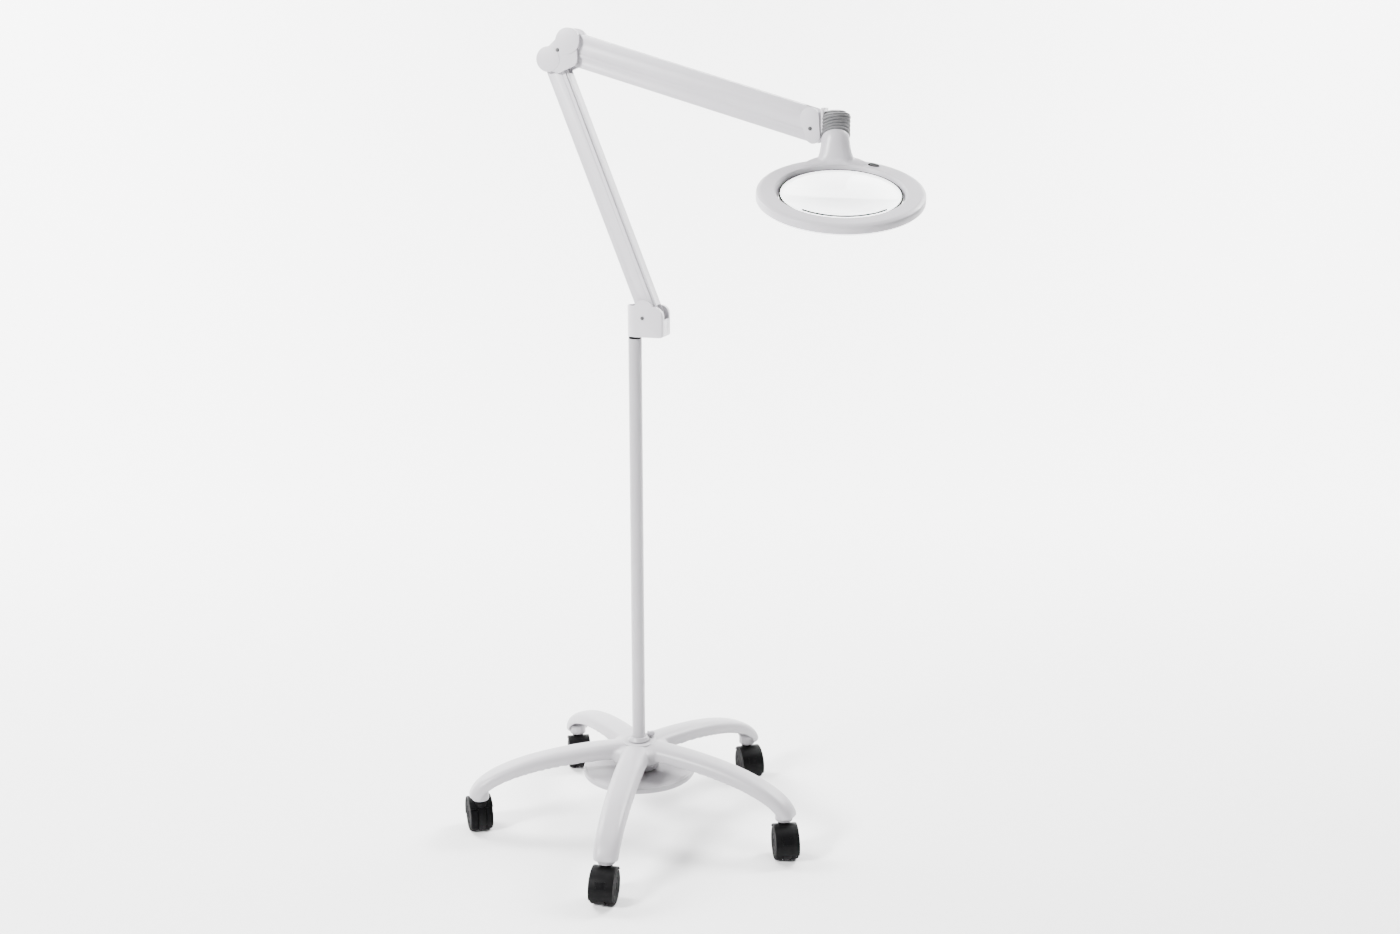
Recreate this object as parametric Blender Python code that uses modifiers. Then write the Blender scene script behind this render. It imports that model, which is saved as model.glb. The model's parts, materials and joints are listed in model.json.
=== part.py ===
"""Illuminated magnifying lamp on a five-star castor trolley, modelled in metres with +Z up.

The origin is on the floor under the column. +X is the lamp's right and +Y its back.
"""

import math
from math import cos, pi, radians, sin

import bmesh
import bpy
from mathutils import Matrix, Vector

# Gaps
GAP = 0.0003  # between two pieces that touch
RUNNING = 0.0002  # round a pin in its hole

# Trolley base
LEG_COUNT = 5
FIRST_LEG_AZIMUTH = radians(-98.7)
CASTOR_CIRCLE = 0.240  # radius at which the castors stand
WHEEL_RADIUS = 0.0250
FOOT_RISE = 0.0030  # from the top of the wheels to the underside of the castor sockets
FOOT_HEIGHT = 2 * WHEEL_RADIUS + FOOT_RISE
HUB_RISE = 0.0770
HUB_TOP = FOOT_HEIGHT + HUB_RISE
LEG_ARCH_RISE = 0.0810  # from the sockets to the top of the legs at the hub
LEG_ARCH_HEIGHT = FOOT_HEIGHT + LEG_ARCH_RISE
LEG_END_REACH = 0.018  # how far a leg runs out past its castor
LEG_WIDTH = 0.043
LEG_DEPTH = 0.020
LEG_WALL = 0.0035
LEG_TIP_SHARE = 0.82  # width at the tip over the width at the hub
LEG_ARCH_POWER = 2.15
LEG_STEPS = 9
HUB_RADIUS = 0.046
HUB_DEPTH = 0.024
HUB_FOOT_RADIUS = 0.030
FLANGE_RADIUS = 0.026
FLANGE_HEIGHT = 0.0025
SOCKET_RADIUS = 0.013
SOCKET_DEPTH = 0.030
WEIGHT_RISE = 0.0370
WEIGHT_TOP = FOOT_HEIGHT + WEIGHT_RISE
WEIGHT_RADIUS = 0.084
WEIGHT_THICKNESS = 0.008
WEIGHT_BOLT_RADIUS = 0.006

# Castors
WHEEL_WIDTH = 0.0115
CASTOR_WEB = 0.0105  # thickness of the housing between the two wheels
CASTOR_TRAIL = 0.013
HOOD_WALL = 0.0014
HOOD_CLEARANCE = 0.0008
HOOD_REACH = radians(66)  # the hood's sweep to each side of straight up
AXLE_RADIUS = 0.003
STEM_RADIUS = 0.0050
STEM_LENGTH = 0.026
NECK_RADIUS = 0.0075
CASTOR_YAWS = (-100.3, -82.7, -74.0, -80.0, 108.6)  # which way each wheel trails, in degrees

# Column
COLUMN_RADIUS = 0.0098
COLUMN_WALL = 0.0015
COLUMN_TOP = 0.744
COLUMN_BOTTOM_RISE = 0.0510
COLUMN_BOTTOM = FOOT_HEIGHT + COLUMN_BOTTOM_RISE
COLLAR_RADIUS = 0.0155
COLLAR_HEIGHT = 0.006
SPIGOT_RADIUS = 0.006
SPIGOT_UP = 0.026
SPIGOT_DOWN = 0.050
WASHER_THICKNESS = 0.0024

# Arm plane, as (along, up) coordinates; "along" points right and a little to the front
ARM_AZIMUTH = radians(-18)
ARM_PIVOT_RISE = 0.0428  # from the top of the column
ARM_PIVOT = Vector((0.0188, COLUMN_TOP + ARM_PIVOT_RISE))
LOWER_ARM_LENGTH = 0.3683
LOWER_ARM_ANGLE = radians(111.8)
LOWER_LINK_OFFSET = Vector((0.0143, -0.0092))  # from the beam's pivots to the link's
ELBOW_OFFSET = Vector((0.0295, 0.0241))  # from the lower beam's top pivot to the upper beam's
UPPER_ARM_LENGTH = 0.3577
UPPER_ARM_ANGLE = radians(-16.5)
UPPER_LINK_OFFSET = Vector((0.0046, -0.0242))

# Arm sections, across the arm from the line of the beam's pivots
BEAM_HALF_THICKNESS = 0.0110
SHEET = 0.0016
LINK_CLEARANCE = 0.0004
TONGUE_CLEARANCE = 0.0004
LOWER_BEAM_BACK = 0.0105
LOWER_BEAM_FRONT = 0.0150
UPPER_BEAM_BACK = 0.0130
UPPER_BEAM_FRONT = 0.0169
LINK_BACK = 0.0088
LOWER_LINK_FRONT = 0.0036
UPPER_LINK_FRONT = 0.0080
WEB_SETBACK = 0.0140  # from a pivot to where a beam's web starts
GROOVE_INSET = 0.0050
GROOVE_WIDTH = 0.0009
GROOVE_DEPTH = 0.0004
MAIN_PIN_RADIUS = 0.0025
LINK_PIN_RADIUS = 0.0022

# Joint covers
COVER_OUTER = 0.0172
COVER_INNER = BEAM_HALF_THICKNESS + LINK_CLEARANCE
BRACKET_OUTER = 0.0175
BRACKET_WALL = 0.0025
BRACKET_RISE = 0.0045  # from the top of the column
BRACKET_HEIGHT = 0.0435
BRACKET_BOTTOM = COLUMN_TOP + BRACKET_RISE
BRACKET_TOP = BRACKET_BOTTOM + BRACKET_HEIGHT
BRACKET_LEFT = -0.0098
BRACKET_RIGHT = 0.0478
BRACKET_CAP_RADIUS = 0.0144
BRACKET_BOSS_RADIUS = 0.0082
BRACKET_CORNER = 0.0140
ELBOW_UPPER_LOBE = 0.0176
ELBOW_LOWER_LOBE = 0.0172
ELBOW_WAIST = 0.0129
ELBOW_LINK_LOBE = 0.0094
LOBE_RISE = 0.0006
WAIST_DROP = 0.0004
HEAD_UPPER_LOBE = 0.0129
HEAD_LOWER_LOBE = 0.0097
SCREW_HEAD_RADIUS = 0.0027
SCREW_HEAD_HEIGHT = 0.0012

# Head: its swivel stands on the arm plane, and the ring hangs forward of it (towards -Y)
# All heights and offsets here are from the upper beam's end pivot
SWIVEL_OFFSET = 0.0305
TILT_DROP = 0.0153
PLATE_OFFSET = 0.0145
PLATE_THICKNESS = 0.0030
PLATE_HALF_WIDTH = 0.0150
PLATE_RISE = 0.0127
PLATE_DROP = 0.0213
BARREL_RADIUS = 0.0080
BARREL_DROP = 0.0003
BARREL_RISE = 0.0072
SWIVEL_PIN_RADIUS = 0.0035
TILT_AXLE_RADIUS = 0.0025
BELLOWS_RADIUS = 0.0212
BELLOWS_DEPTH = 0.0022
BELLOWS_CORE = 0.0152
BELLOWS_RIBS = 5
BELLOWS_RISE = 0.0102
BELLOWS_STRAIGHT = 0.0175
BELLOWS_BEND = 0.0280
NECK_LEAN = radians(40)
NECK_MOUTH = 0.0188
NECK_WALL = 0.0020
NECK_BASE_WIDTH = 0.0240
NECK_BASE_DEPTH = 0.0125
RING_FORWARD = 0.1060
RING_DROP = 0.0887
RING_TILT = radians(20)
RING_RADIUS = 0.1080
RING_DEPTH = 0.0120
RING_WALL = 0.0024
OPENING_RADIUS = 0.0840
OPENING_SLOPE = 0.0050
FRONT_OPENING_RADIUS = 0.0790
LENS_RADIUS = 0.0765
LENS_EDGE = 0.0040
LENS_TOP = -0.0050
LENS_SAG = 0.0065
SEAL_WIDTH = 0.0026
BOARD_THICKNESS = 0.0016
DIFFUSER_THICKNESS = 0.0030
SWITCH_ANGLE = radians(59)
SWITCH_CIRCLE = 0.0950
SWITCH_LENGTH = 0.0160
SWITCH_WIDTH = 0.0090
SWITCH_RISE = 0.0016

ROUND = 16  # segments round a small circle
RING_ROUND = 56

for leftover in list(bpy.data.objects):
    bpy.data.objects.remove(leftover, do_unlink=True)

lamp = bpy.data.collections.new("magnifying_lamp")
cutters = bpy.data.collections.new("cutters")
bpy.context.scene.collection.children.link(lamp)
bpy.context.scene.collection.children.link(cutters)


def make_material(name, colour, roughness, metallic=0.0):
    made = bpy.data.materials.new(name)
    made.use_nodes = True
    shader = made.node_tree.nodes["Principled BSDF"]
    shader.inputs["Base Color"].default_value = (*colour, 1.0)
    shader.inputs["Roughness"].default_value = roughness
    shader.inputs["Metallic"].default_value = metallic
    return made


POWDER_COAT = make_material("powder_coat", (0.70, 0.69, 0.71), 0.45)
WHITE_PLASTIC = make_material("white_plastic", (0.78, 0.77, 0.80), 0.35)
BLACK_PLASTIC = make_material("black_plastic", (0.02, 0.02, 0.022), 0.40)
GREY_RUBBER = make_material("grey_rubber", (0.25, 0.25, 0.26), 0.65)
STEEL = make_material("steel", (0.60, 0.60, 0.61), 0.30, 1.0)
GLASS = make_material("glass", (0.95, 0.97, 0.97), 0.05)
DIFFUSER = make_material("opal_diffuser", (0.95, 0.95, 0.95), 0.50)
CIRCUIT = make_material("circuit_board", (0.80, 0.82, 0.80), 0.55)


# --- Tools -----------------------------------------------------------------------------------


def place(obj, material, parent=None, smooth=radians(35)):
    """Puts a sub-part in the lamp's collection with its material and its parent."""
    lamp.objects.link(obj)
    obj.data.materials.append(material)
    obj.parent = parent
    if smooth:
        obj.data.shade_smooth()
        obj.data.set_sharp_from_angle(angle=smooth)
    return obj


def hide(obj, parent=None):
    """Puts a helper of a Boolean in the cutters' collection."""
    cutters.objects.link(obj)
    obj.parent = parent
    obj.hide_render = True
    obj.display_type = "WIRE"
    return obj


def empty(name, location=(0, 0, 0), parent=None, turn=None):
    made = bpy.data.objects.new(name, None)
    made.empty_display_size = 0.02
    lamp.objects.link(made)
    made.location = location
    made.parent = parent
    if turn:
        made.rotation_euler = turn
    return made


def combine(obj, other, operation):
    change = obj.modifiers.new(operation.lower(), "BOOLEAN")
    change.operation = operation
    change.object = other
    return obj


def cut(obj, *others):
    for other in others:
        combine(obj, hide(other, obj.parent), "DIFFERENCE")
    return obj


def join(obj, *others):
    for other in others:
        combine(obj, hide(other, obj.parent), "UNION")
    return obj


def soften(obj, width, segments=2, angle=radians(50)):
    bevel = obj.modifiers.new("soften", "BEVEL")
    bevel.width = width
    bevel.segments = segments
    bevel.limit_method = "ANGLE"
    bevel.angle_limit = angle
    return obj


def mesh_object(name, shape):
    data = bpy.data.meshes.new(name)
    bmesh.ops.recalc_face_normals(shape, faces=shape.faces)
    shape.to_mesh(data)
    shape.free()
    return bpy.data.objects.new(name, data)


def box(name, low, high):
    shape = bmesh.new()
    bmesh.ops.create_cube(shape, size=1.0)
    size = Vector(high) - Vector(low)
    middle = (Vector(high) + Vector(low)) / 2
    sized = Matrix.Translation(middle) @ Matrix.Diagonal((*size, 1))
    bmesh.ops.transform(shape, matrix=sized, verts=shape.verts)
    return mesh_object(name, shape)


def rod(name, start, end, radius, segments=ROUND, end_radius=None):
    """A round bar between two points, or a cone where its ends differ."""
    start, end = Vector(start), Vector(end)
    shape = bmesh.new()
    bmesh.ops.create_cone(
        shape,
        cap_ends=True,
        segments=segments,
        radius1=radius,
        radius2=radius if end_radius is None else end_radius,
        depth=(end - start).length,
    )
    turn = (end - start).to_track_quat("Z", "Y").to_matrix().to_4x4()
    bmesh.ops.transform(shape, matrix=Matrix.Translation((start + end) / 2) @ turn, verts=shape.verts)
    return mesh_object(name, shape)


def from_curve(curve):
    """A welded mesh object made from a curve, which is removed."""
    scene = bpy.context.scene.collection
    scene.objects.link(curve)
    graph = bpy.context.evaluated_depsgraph_get()
    data = bpy.data.meshes.new_from_object(curve.evaluated_get(graph))
    shape = bmesh.new()
    shape.from_mesh(data)
    bmesh.ops.remove_doubles(shape, verts=shape.verts, dist=1e-6)
    name = curve.name
    bpy.data.objects.remove(curve)
    return mesh_object(name, shape)


def spline_object(name, points, cyclic, dimensions):
    data = bpy.data.curves.new(name, "CURVE")
    data.dimensions = dimensions
    spline = data.splines.new("POLY")
    spline.points.add(len(points) - 1)
    for target, point in zip(spline.points, points):
        target.co = (*point, 1.0)
    spline.use_cyclic_u = cyclic
    return bpy.data.objects.new(name, data)


def extruded(name, outline, near, far, matrix):
    """A flat outline given thickness between two depths, then moved by a matrix."""
    shape = bmesh.new()
    following = outline[1:] + outline[:1]
    apart = [point for point, after in zip(outline, following) if (point - after).length > 1e-6]
    corners = [shape.verts.new((point.x, point.y, near)) for point in apart]
    raised = bmesh.ops.extrude_face_region(shape, geom=[shape.faces.new(corners)])["geom"]
    moved = [item for item in raised if isinstance(item, bmesh.types.BMVert)]
    bmesh.ops.translate(shape, verts=moved, vec=(0, 0, far - near))
    bmesh.ops.transform(shape, matrix=matrix, verts=shape.verts)
    return mesh_object(name, shape)


def prism(name, outline, near, far):
    """An outline in the (along, up) plane, given its thickness from near to far along Y."""
    return extruded(name, outline, -far, -near, Matrix.Rotation(pi / 2, 4, "X"))


def slab(name, outline, low, high):
    """An outline in the XY plane, given its thickness from low to high."""
    return extruded(name, outline, low, high, Matrix.Identity(4))


def turned(name, profile, segments=ROUND, closed=False):
    """A profile of (radius, height) points, running down its outer side, turned round Z."""
    shape = bmesh.new()
    points = [shape.verts.new((radius, 0, height)) for radius, height in profile]
    for first, second in zip(points, points[1:]):
        shape.edges.new((first, second))
    if closed:
        shape.edges.new((points[-1], points[0]))
    data = bpy.data.meshes.new(name)
    shape.to_mesh(data)
    shape.free()
    made = bpy.data.objects.new(name, data)
    screw = made.modifiers.new("turn", "SCREW")
    screw.steps = screw.render_steps = segments
    screw.use_merge_vertices = True
    screw.merge_threshold = 1e-5
    screw.use_smooth_shade = True
    return made


def arc(centre, radius, start, end, steps):
    """Points round part of a circle, both ends included; angles in radians."""
    centre = Vector(centre)
    angles = [start + (end - start) * step / steps for step in range(steps + 1)]
    return [centre + radius * Vector((cos(angle), sin(angle))) for angle in angles]


def hull(circles, steps=5):
    """The tight outline round circles given anticlockwise as (centre, radius)."""
    outline = []
    count = len(circles)
    tangents = []
    for index in range(count):
        (here, radius), (there, next_radius) = circles[index], circles[(index + 1) % count]
        way = there - here
        lean = math.asin((radius - next_radius) / way.length)
        tangents.append(math.atan2(way.y, way.x) - pi / 2 + lean)
    for index, (centre, radius) in enumerate(circles):
        start, end = tangents[index - 1], tangents[index]
        end = start + (end - start) % (2 * pi)
        outline += arc(centre, radius, start, end, max(2, round(steps * (end - start) / (pi / 3))))
    return outline


def direction(angle):
    return Vector((cos(angle), sin(angle)))


def flat(point, depth=0.0):
    """A point of the arm plane, as a place in space."""
    return (point.x, depth, point.y)


# --- Trolley base ----------------------------------------------------------------------------

LEG_REACH = CASTOR_CIRCLE + LEG_END_REACH


def leg_ridge(turn):
    """A point on the leg's top line; turn runs from 0 at the hub to a quarter circle at the tip."""
    share = 2 / LEG_ARCH_POWER
    out = LEG_REACH * sin(turn) ** share
    up = FOOT_HEIGHT + (LEG_ARCH_HEIGHT - FOOT_HEIGHT) * cos(turn) ** share
    return out, up


def leg_profile():
    """The leg's section, an arch open at the bottom, with its top at the origin."""
    half, wall = LEG_WIDTH / 2, LEG_WALL
    outer = [Vector((x * half, y * LEG_DEPTH)) for x, y in ((1, -1), (0.97, -0.45), (0.72, -0.12), (0.3, 0))]
    inner = [Vector((x * (half - wall), y * (LEG_DEPTH - wall) - wall)) for x, y in ((0.95, -0.45), (0.6, 0))]
    right = [inner[1], inner[0], Vector((half - wall, -LEG_DEPTH))] + outer
    left = [Vector((-p.x, p.y)) for p in reversed(right)]
    return [(p.x, p.y, 0) for p in right + left]


def leg_solid(name, azimuth):
    last = radians(84)
    path = [leg_ridge(radians(6) + (last - radians(6)) * step / (LEG_STEPS - 1)) for step in range(LEG_STEPS)]
    way = direction(azimuth)
    points = [(way.x * out, way.y * out, up) for out, up in path]
    section = spline_object("leg_section", leg_profile(), True, "2D")
    bpy.context.scene.collection.objects.link(section)
    curve = spline_object(name, points, False, "3D")
    curve.data.twist_mode = "Z_UP"
    curve.data.bevel_mode = "OBJECT"
    curve.data.bevel_object = section
    curve.data.use_fill_caps = True
    for index, point in enumerate(curve.data.splines[0].points):
        point.radius = 1 + (LEG_TIP_SHARE - 1) * index / (LEG_STEPS - 1)
    made = from_curve(curve)
    bpy.data.objects.remove(section)
    return made


def castor_place(index):
    azimuth = FIRST_LEG_AZIMUTH + index * 2 * pi / LEG_COUNT
    return azimuth, direction(azimuth) * CASTOR_CIRCLE


def star_base():
    hub_low, foot_low = HUB_TOP - HUB_DEPTH, WEIGHT_TOP + GAP
    hub = turned(
        "star_base",
        [
            (0, HUB_TOP),
            (HUB_RADIUS * 0.72, HUB_TOP),
            (HUB_RADIUS * 0.93, HUB_TOP - HUB_DEPTH * 0.16),
            (HUB_RADIUS, HUB_TOP - HUB_DEPTH * 0.5),
            (HUB_RADIUS, hub_low),
            (HUB_FOOT_RADIUS, hub_low),
            (HUB_FOOT_RADIUS, foot_low),
            (0, foot_low),
        ],
        30,
    )
    flange_low, flange_high = HUB_TOP - FLANGE_HEIGHT, HUB_TOP + FLANGE_HEIGHT
    flange = rod("hub_flange", (0, 0, flange_low), (0, 0, flange_high), FLANGE_RADIUS, 28)
    place(hub, POWDER_COAT)
    join(hub, flange)
    for index in range(LEG_COUNT):
        azimuth, foot = castor_place(index)
        socket = rod(
            f"socket_{index}",
            (foot.x, foot.y, FOOT_HEIGHT),
            (foot.x, foot.y, FOOT_HEIGHT + SOCKET_DEPTH + LEG_WALL),
            SOCKET_RADIUS,
            14,
        )
        join(hub, leg_solid(f"leg_{index}", azimuth), socket)
    for index in range(LEG_COUNT):
        _, foot = castor_place(index)
        bore = rod(
            f"socket_bore_{index}",
            (foot.x, foot.y, FOOT_HEIGHT - GAP),
            (foot.x, foot.y, FOOT_HEIGHT + STEM_LENGTH + GAP),
            STEM_RADIUS + RUNNING,
            12,
        )
        cut(hub, bore)
    post_hole = rod(
        "column_hole",
        (0, 0, COLUMN_BOTTOM - GAP),
        (0, 0, HUB_TOP + FLANGE_HEIGHT * 2),
        COLUMN_RADIUS + RUNNING,
        24,
    )
    bolt_hole = rod("bolt_hole", (0, 0, foot_low - GAP), (0, 0, COLUMN_BOTTOM), WEIGHT_BOLT_RADIUS + RUNNING)
    cut(hub, post_hole, bolt_hole)
    return hub


def weight_parts():
    """The disc bolted up under the hub, and its bolt."""
    top = WEIGHT_TOP
    low = top - WEIGHT_THICKNESS
    edge = 0.0012
    disc = turned(
        "weight_disc",
        [
            (WEIGHT_BOLT_RADIUS + RUNNING, top),
            (WEIGHT_RADIUS - edge, top),
            (WEIGHT_RADIUS, top - edge),
            (WEIGHT_RADIUS, low + edge),
            (WEIGHT_RADIUS - edge, low),
            (WEIGHT_BOLT_RADIUS + RUNNING, low),
        ],
        48,
        closed=True,
    )
    place(disc, POWDER_COAT)
    head = WEIGHT_BOLT_RADIUS * 1.6
    bolt = turned(
        "weight_bolt",
        [
            (0, COLUMN_BOTTOM - 2 * GAP),
            (WEIGHT_BOLT_RADIUS, COLUMN_BOTTOM - 2 * GAP),
            (WEIGHT_BOLT_RADIUS, low - GAP),
            (head, low - GAP),
            (head, low - GAP - WEIGHT_BOLT_RADIUS),
            (0, low - GAP - WEIGHT_BOLT_RADIUS),
        ],
        ROUND,
    )
    place(bolt, STEEL)


def column_parts():
    column = turned(
        "column",
        [
            (COLUMN_RADIUS - COLUMN_WALL, COLUMN_TOP),
            (COLUMN_RADIUS - 0.0004, COLUMN_TOP),
            (COLUMN_RADIUS, COLUMN_TOP - 0.0004),
            (COLUMN_RADIUS, COLUMN_BOTTOM),
            (COLUMN_RADIUS - COLUMN_WALL, COLUMN_BOTTOM),
        ],
        24,
        closed=True,
    )
    place(column, POWDER_COAT)
    collar_low = HUB_TOP + FLANGE_HEIGHT + GAP
    collar = turned(
        "column_collar",
        [
            (COLUMN_RADIUS + RUNNING, collar_low + COLLAR_HEIGHT),
            (COLLAR_RADIUS * 0.82, collar_low + COLLAR_HEIGHT),
            (COLLAR_RADIUS, collar_low + COLLAR_HEIGHT * 0.45),
            (COLLAR_RADIUS, collar_low),
            (COLUMN_RADIUS + RUNNING, collar_low),
        ],
        24,
        closed=True,
    )
    place(collar, POWDER_COAT)
    # The clamp screw stands out of the collar, to the right and back.
    way = direction(radians(28))
    level = collar_low + COLLAR_HEIGHT * 0.5
    screw_start = COLUMN_RADIUS + 2 * GAP
    screw = rod(
        "collar_screw",
        (way.x * screw_start, way.y * screw_start, level),
        (way.x * (COLLAR_RADIUS + 0.004), way.y * (COLLAR_RADIUS + 0.004), level),
        0.0016,
        12,
    )
    knob = rod(
        "screw_knob",
        (way.x * (COLLAR_RADIUS + 0.0015), way.y * (COLLAR_RADIUS + 0.0015), level + 0.0015),
        (way.x * (COLLAR_RADIUS + 0.0095), way.y * (COLLAR_RADIUS + 0.0095), level + 0.0015),
        0.0042,
        16,
    )
    place(screw, POWDER_COAT)
    join(screw, knob)
    hole = rod("collar_hole", (0, 0, level), (way.x * 0.05, way.y * 0.05, level), 0.0016 + RUNNING, 12)
    cut(collar, hole)
    inner = COLUMN_RADIUS - COLUMN_WALL - RUNNING
    spigot = turned(
        "column_spigot",
        [
            (0, COLUMN_TOP + GAP + SPIGOT_UP),
            (SPIGOT_RADIUS - 0.0006, COLUMN_TOP + GAP + SPIGOT_UP),
            (SPIGOT_RADIUS, COLUMN_TOP + GAP + SPIGOT_UP - 0.0006),
            (SPIGOT_RADIUS, COLUMN_TOP + GAP + WASHER_THICKNESS),
            (COLUMN_RADIUS - 0.0005, COLUMN_TOP + GAP + WASHER_THICKNESS),
            (COLUMN_RADIUS - 0.0005, COLUMN_TOP + GAP),
            (inner, COLUMN_TOP + GAP),
            (inner, COLUMN_TOP - SPIGOT_DOWN),
            (0, COLUMN_TOP - SPIGOT_DOWN),
        ],
        ROUND,
    )
    place(spigot, BLACK_PLASTIC)


# --- Castors ---------------------------------------------------------------------------------


def castor(index):
    """A hooded twin-wheel castor. Its own +X is the way it trails and Y is its axle."""
    _, foot = castor_place(index)
    swivel = empty(f"castor_swivel_{index}", (foot.x, foot.y, 0), turn=(0, 0, radians(CASTOR_YAWS[index])))
    roll = empty(f"castor_roll_{index}", (CASTOR_TRAIL, 0, WHEEL_RADIUS), swivel)
    half_web = CASTOR_WEB / 2
    half_width = half_web + GAP + WHEEL_WIDTH
    hood_inner = WHEEL_RADIUS + HOOD_CLEARANCE
    hood_outer = hood_inner + HOOD_WALL
    axle_line = (CASTOR_TRAIL, WHEEL_RADIUS)

    upward = pi / 2
    hood_outline = arc(axle_line, hood_outer, upward + HOOD_REACH, upward - HOOD_REACH, 9) + arc(
        axle_line, hood_inner, upward - HOOD_REACH, upward + HOOD_REACH, 9
    )
    hood = prism(f"castor_housing_{index}", hood_outline, -half_width, half_width)
    hood.data.name = f"castor_hood_{index}"
    middle_of_hood = (hood_inner + hood_outer) / 2
    web_outline = arc(axle_line, middle_of_hood, upward - HOOD_REACH + 0.05, upward + HOOD_REACH - 0.05, 9)
    web_outline += arc(axle_line, WHEEL_RADIUS * 0.82, upward + HOOD_REACH, upward + 2 * pi - HOOD_REACH, 8)
    web = prism(f"castor_web_{index}", web_outline, -half_web, half_web)
    neck = rod(f"castor_neck_{index}", (0, 0, WHEEL_RADIUS), (0, 0, FOOT_HEIGHT - GAP), NECK_RADIUS, 16)
    neck_side = half_web + GAP / 3  # the rest of the gap stays free beside the wheel
    housing = place(hood, BLACK_PLASTIC, swivel)
    join(housing, web, neck)
    for side in (-1, 1):
        low, high = sorted((side * neck_side, side * (half_width + 0.002)))
        wheel_room = prism(
            f"wheel_room_{index}_{side}",
            arc(axle_line, hood_inner - 0.0001, 0, 2 * pi, 20)[:-1],
            low,
            high,
        )
        cut(housing, wheel_room)
    stem_bore = rod(
        f"stem_bore_{index}",
        (0, 0, FOOT_HEIGHT - 0.012),
        (0, 0, FOOT_HEIGHT + 0.01),
        STEM_RADIUS - 0.001 + RUNNING,
        12,
    )
    axle_bore = rod(
        f"axle_bore_{index}",
        flat(Vector(axle_line), -half_web - 0.001),
        flat(Vector(axle_line), half_web + 0.001),
        AXLE_RADIUS + RUNNING,
        10,
    )
    window = box(
        f"hood_window_{index}",
        (CASTOR_TRAIL + hood_inner - 0.003, -0.0035, WHEEL_RADIUS - 0.004),
        (CASTOR_TRAIL + hood_outer + 0.002, 0.0035, WHEEL_RADIUS + 0.005),
    )
    cut(housing, stem_bore, axle_bore, window)

    stem = rod(
        f"castor_stem_{index}",
        (0, 0, FOOT_HEIGHT + GAP),
        (0, 0, FOOT_HEIGHT + STEM_LENGTH - GAP),
        STEM_RADIUS,
        12,
    )
    shank = rod(
        f"stem_shank_{index}",
        (0, 0, FOOT_HEIGHT - 0.0115),
        (0, 0, FOOT_HEIGHT + 0.002),
        STEM_RADIUS - 0.001,
        12,
    )
    place(stem, STEEL, swivel)
    join(stem, shank)

    dish = 0.0012
    wheel_half = half_web + GAP
    profile = [
        (0, half_width - dish),
        (WHEEL_RADIUS * 0.55, half_width),
        (WHEEL_RADIUS - 0.002, half_width),
        (WHEEL_RADIUS, half_width - 0.002),
        (WHEEL_RADIUS, wheel_half),
        (AXLE_RADIUS, wheel_half),
    ]
    mirrored = [(radius, -height) for radius, height in reversed(profile)]
    wheels = turned(f"castor_wheels_{index}", profile + mirrored, 20)
    place(wheels, BLACK_PLASTIC, roll)
    wheels.rotation_euler = (pi / 2, 0, 0)


# --- Arm -------------------------------------------------------------------------------------

LINK_HALF = BEAM_HALF_THICKNESS - SHEET - LINK_CLEARANCE
TONGUE_HALF = LINK_HALF - SHEET - TONGUE_CLEARANCE
LOWER_TOP = ARM_PIVOT + LOWER_ARM_LENGTH * direction(LOWER_ARM_ANGLE)
UPPER_START = LOWER_TOP + ELBOW_OFFSET
UPPER_END = UPPER_START + UPPER_ARM_LENGTH * direction(UPPER_ARM_ANGLE)
SWIVEL_ALONG = UPPER_END.x + SWIVEL_OFFSET
PLATE_ALONG = UPPER_END.x + PLATE_OFFSET
TILT_UP = UPPER_END.y - TILT_DROP
PLATE_TOP = UPPER_END.y + PLATE_RISE
PLATE_BOTTOM = UPPER_END.y - PLATE_DROP
BARREL_BOTTOM = UPPER_END.y - BARREL_DROP
BARREL_TOP = UPPER_END.y + BARREL_RISE
BELLOWS_TOP = UPPER_END.y + BELLOWS_RISE
RING_UP = UPPER_END.y - RING_DROP


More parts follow.
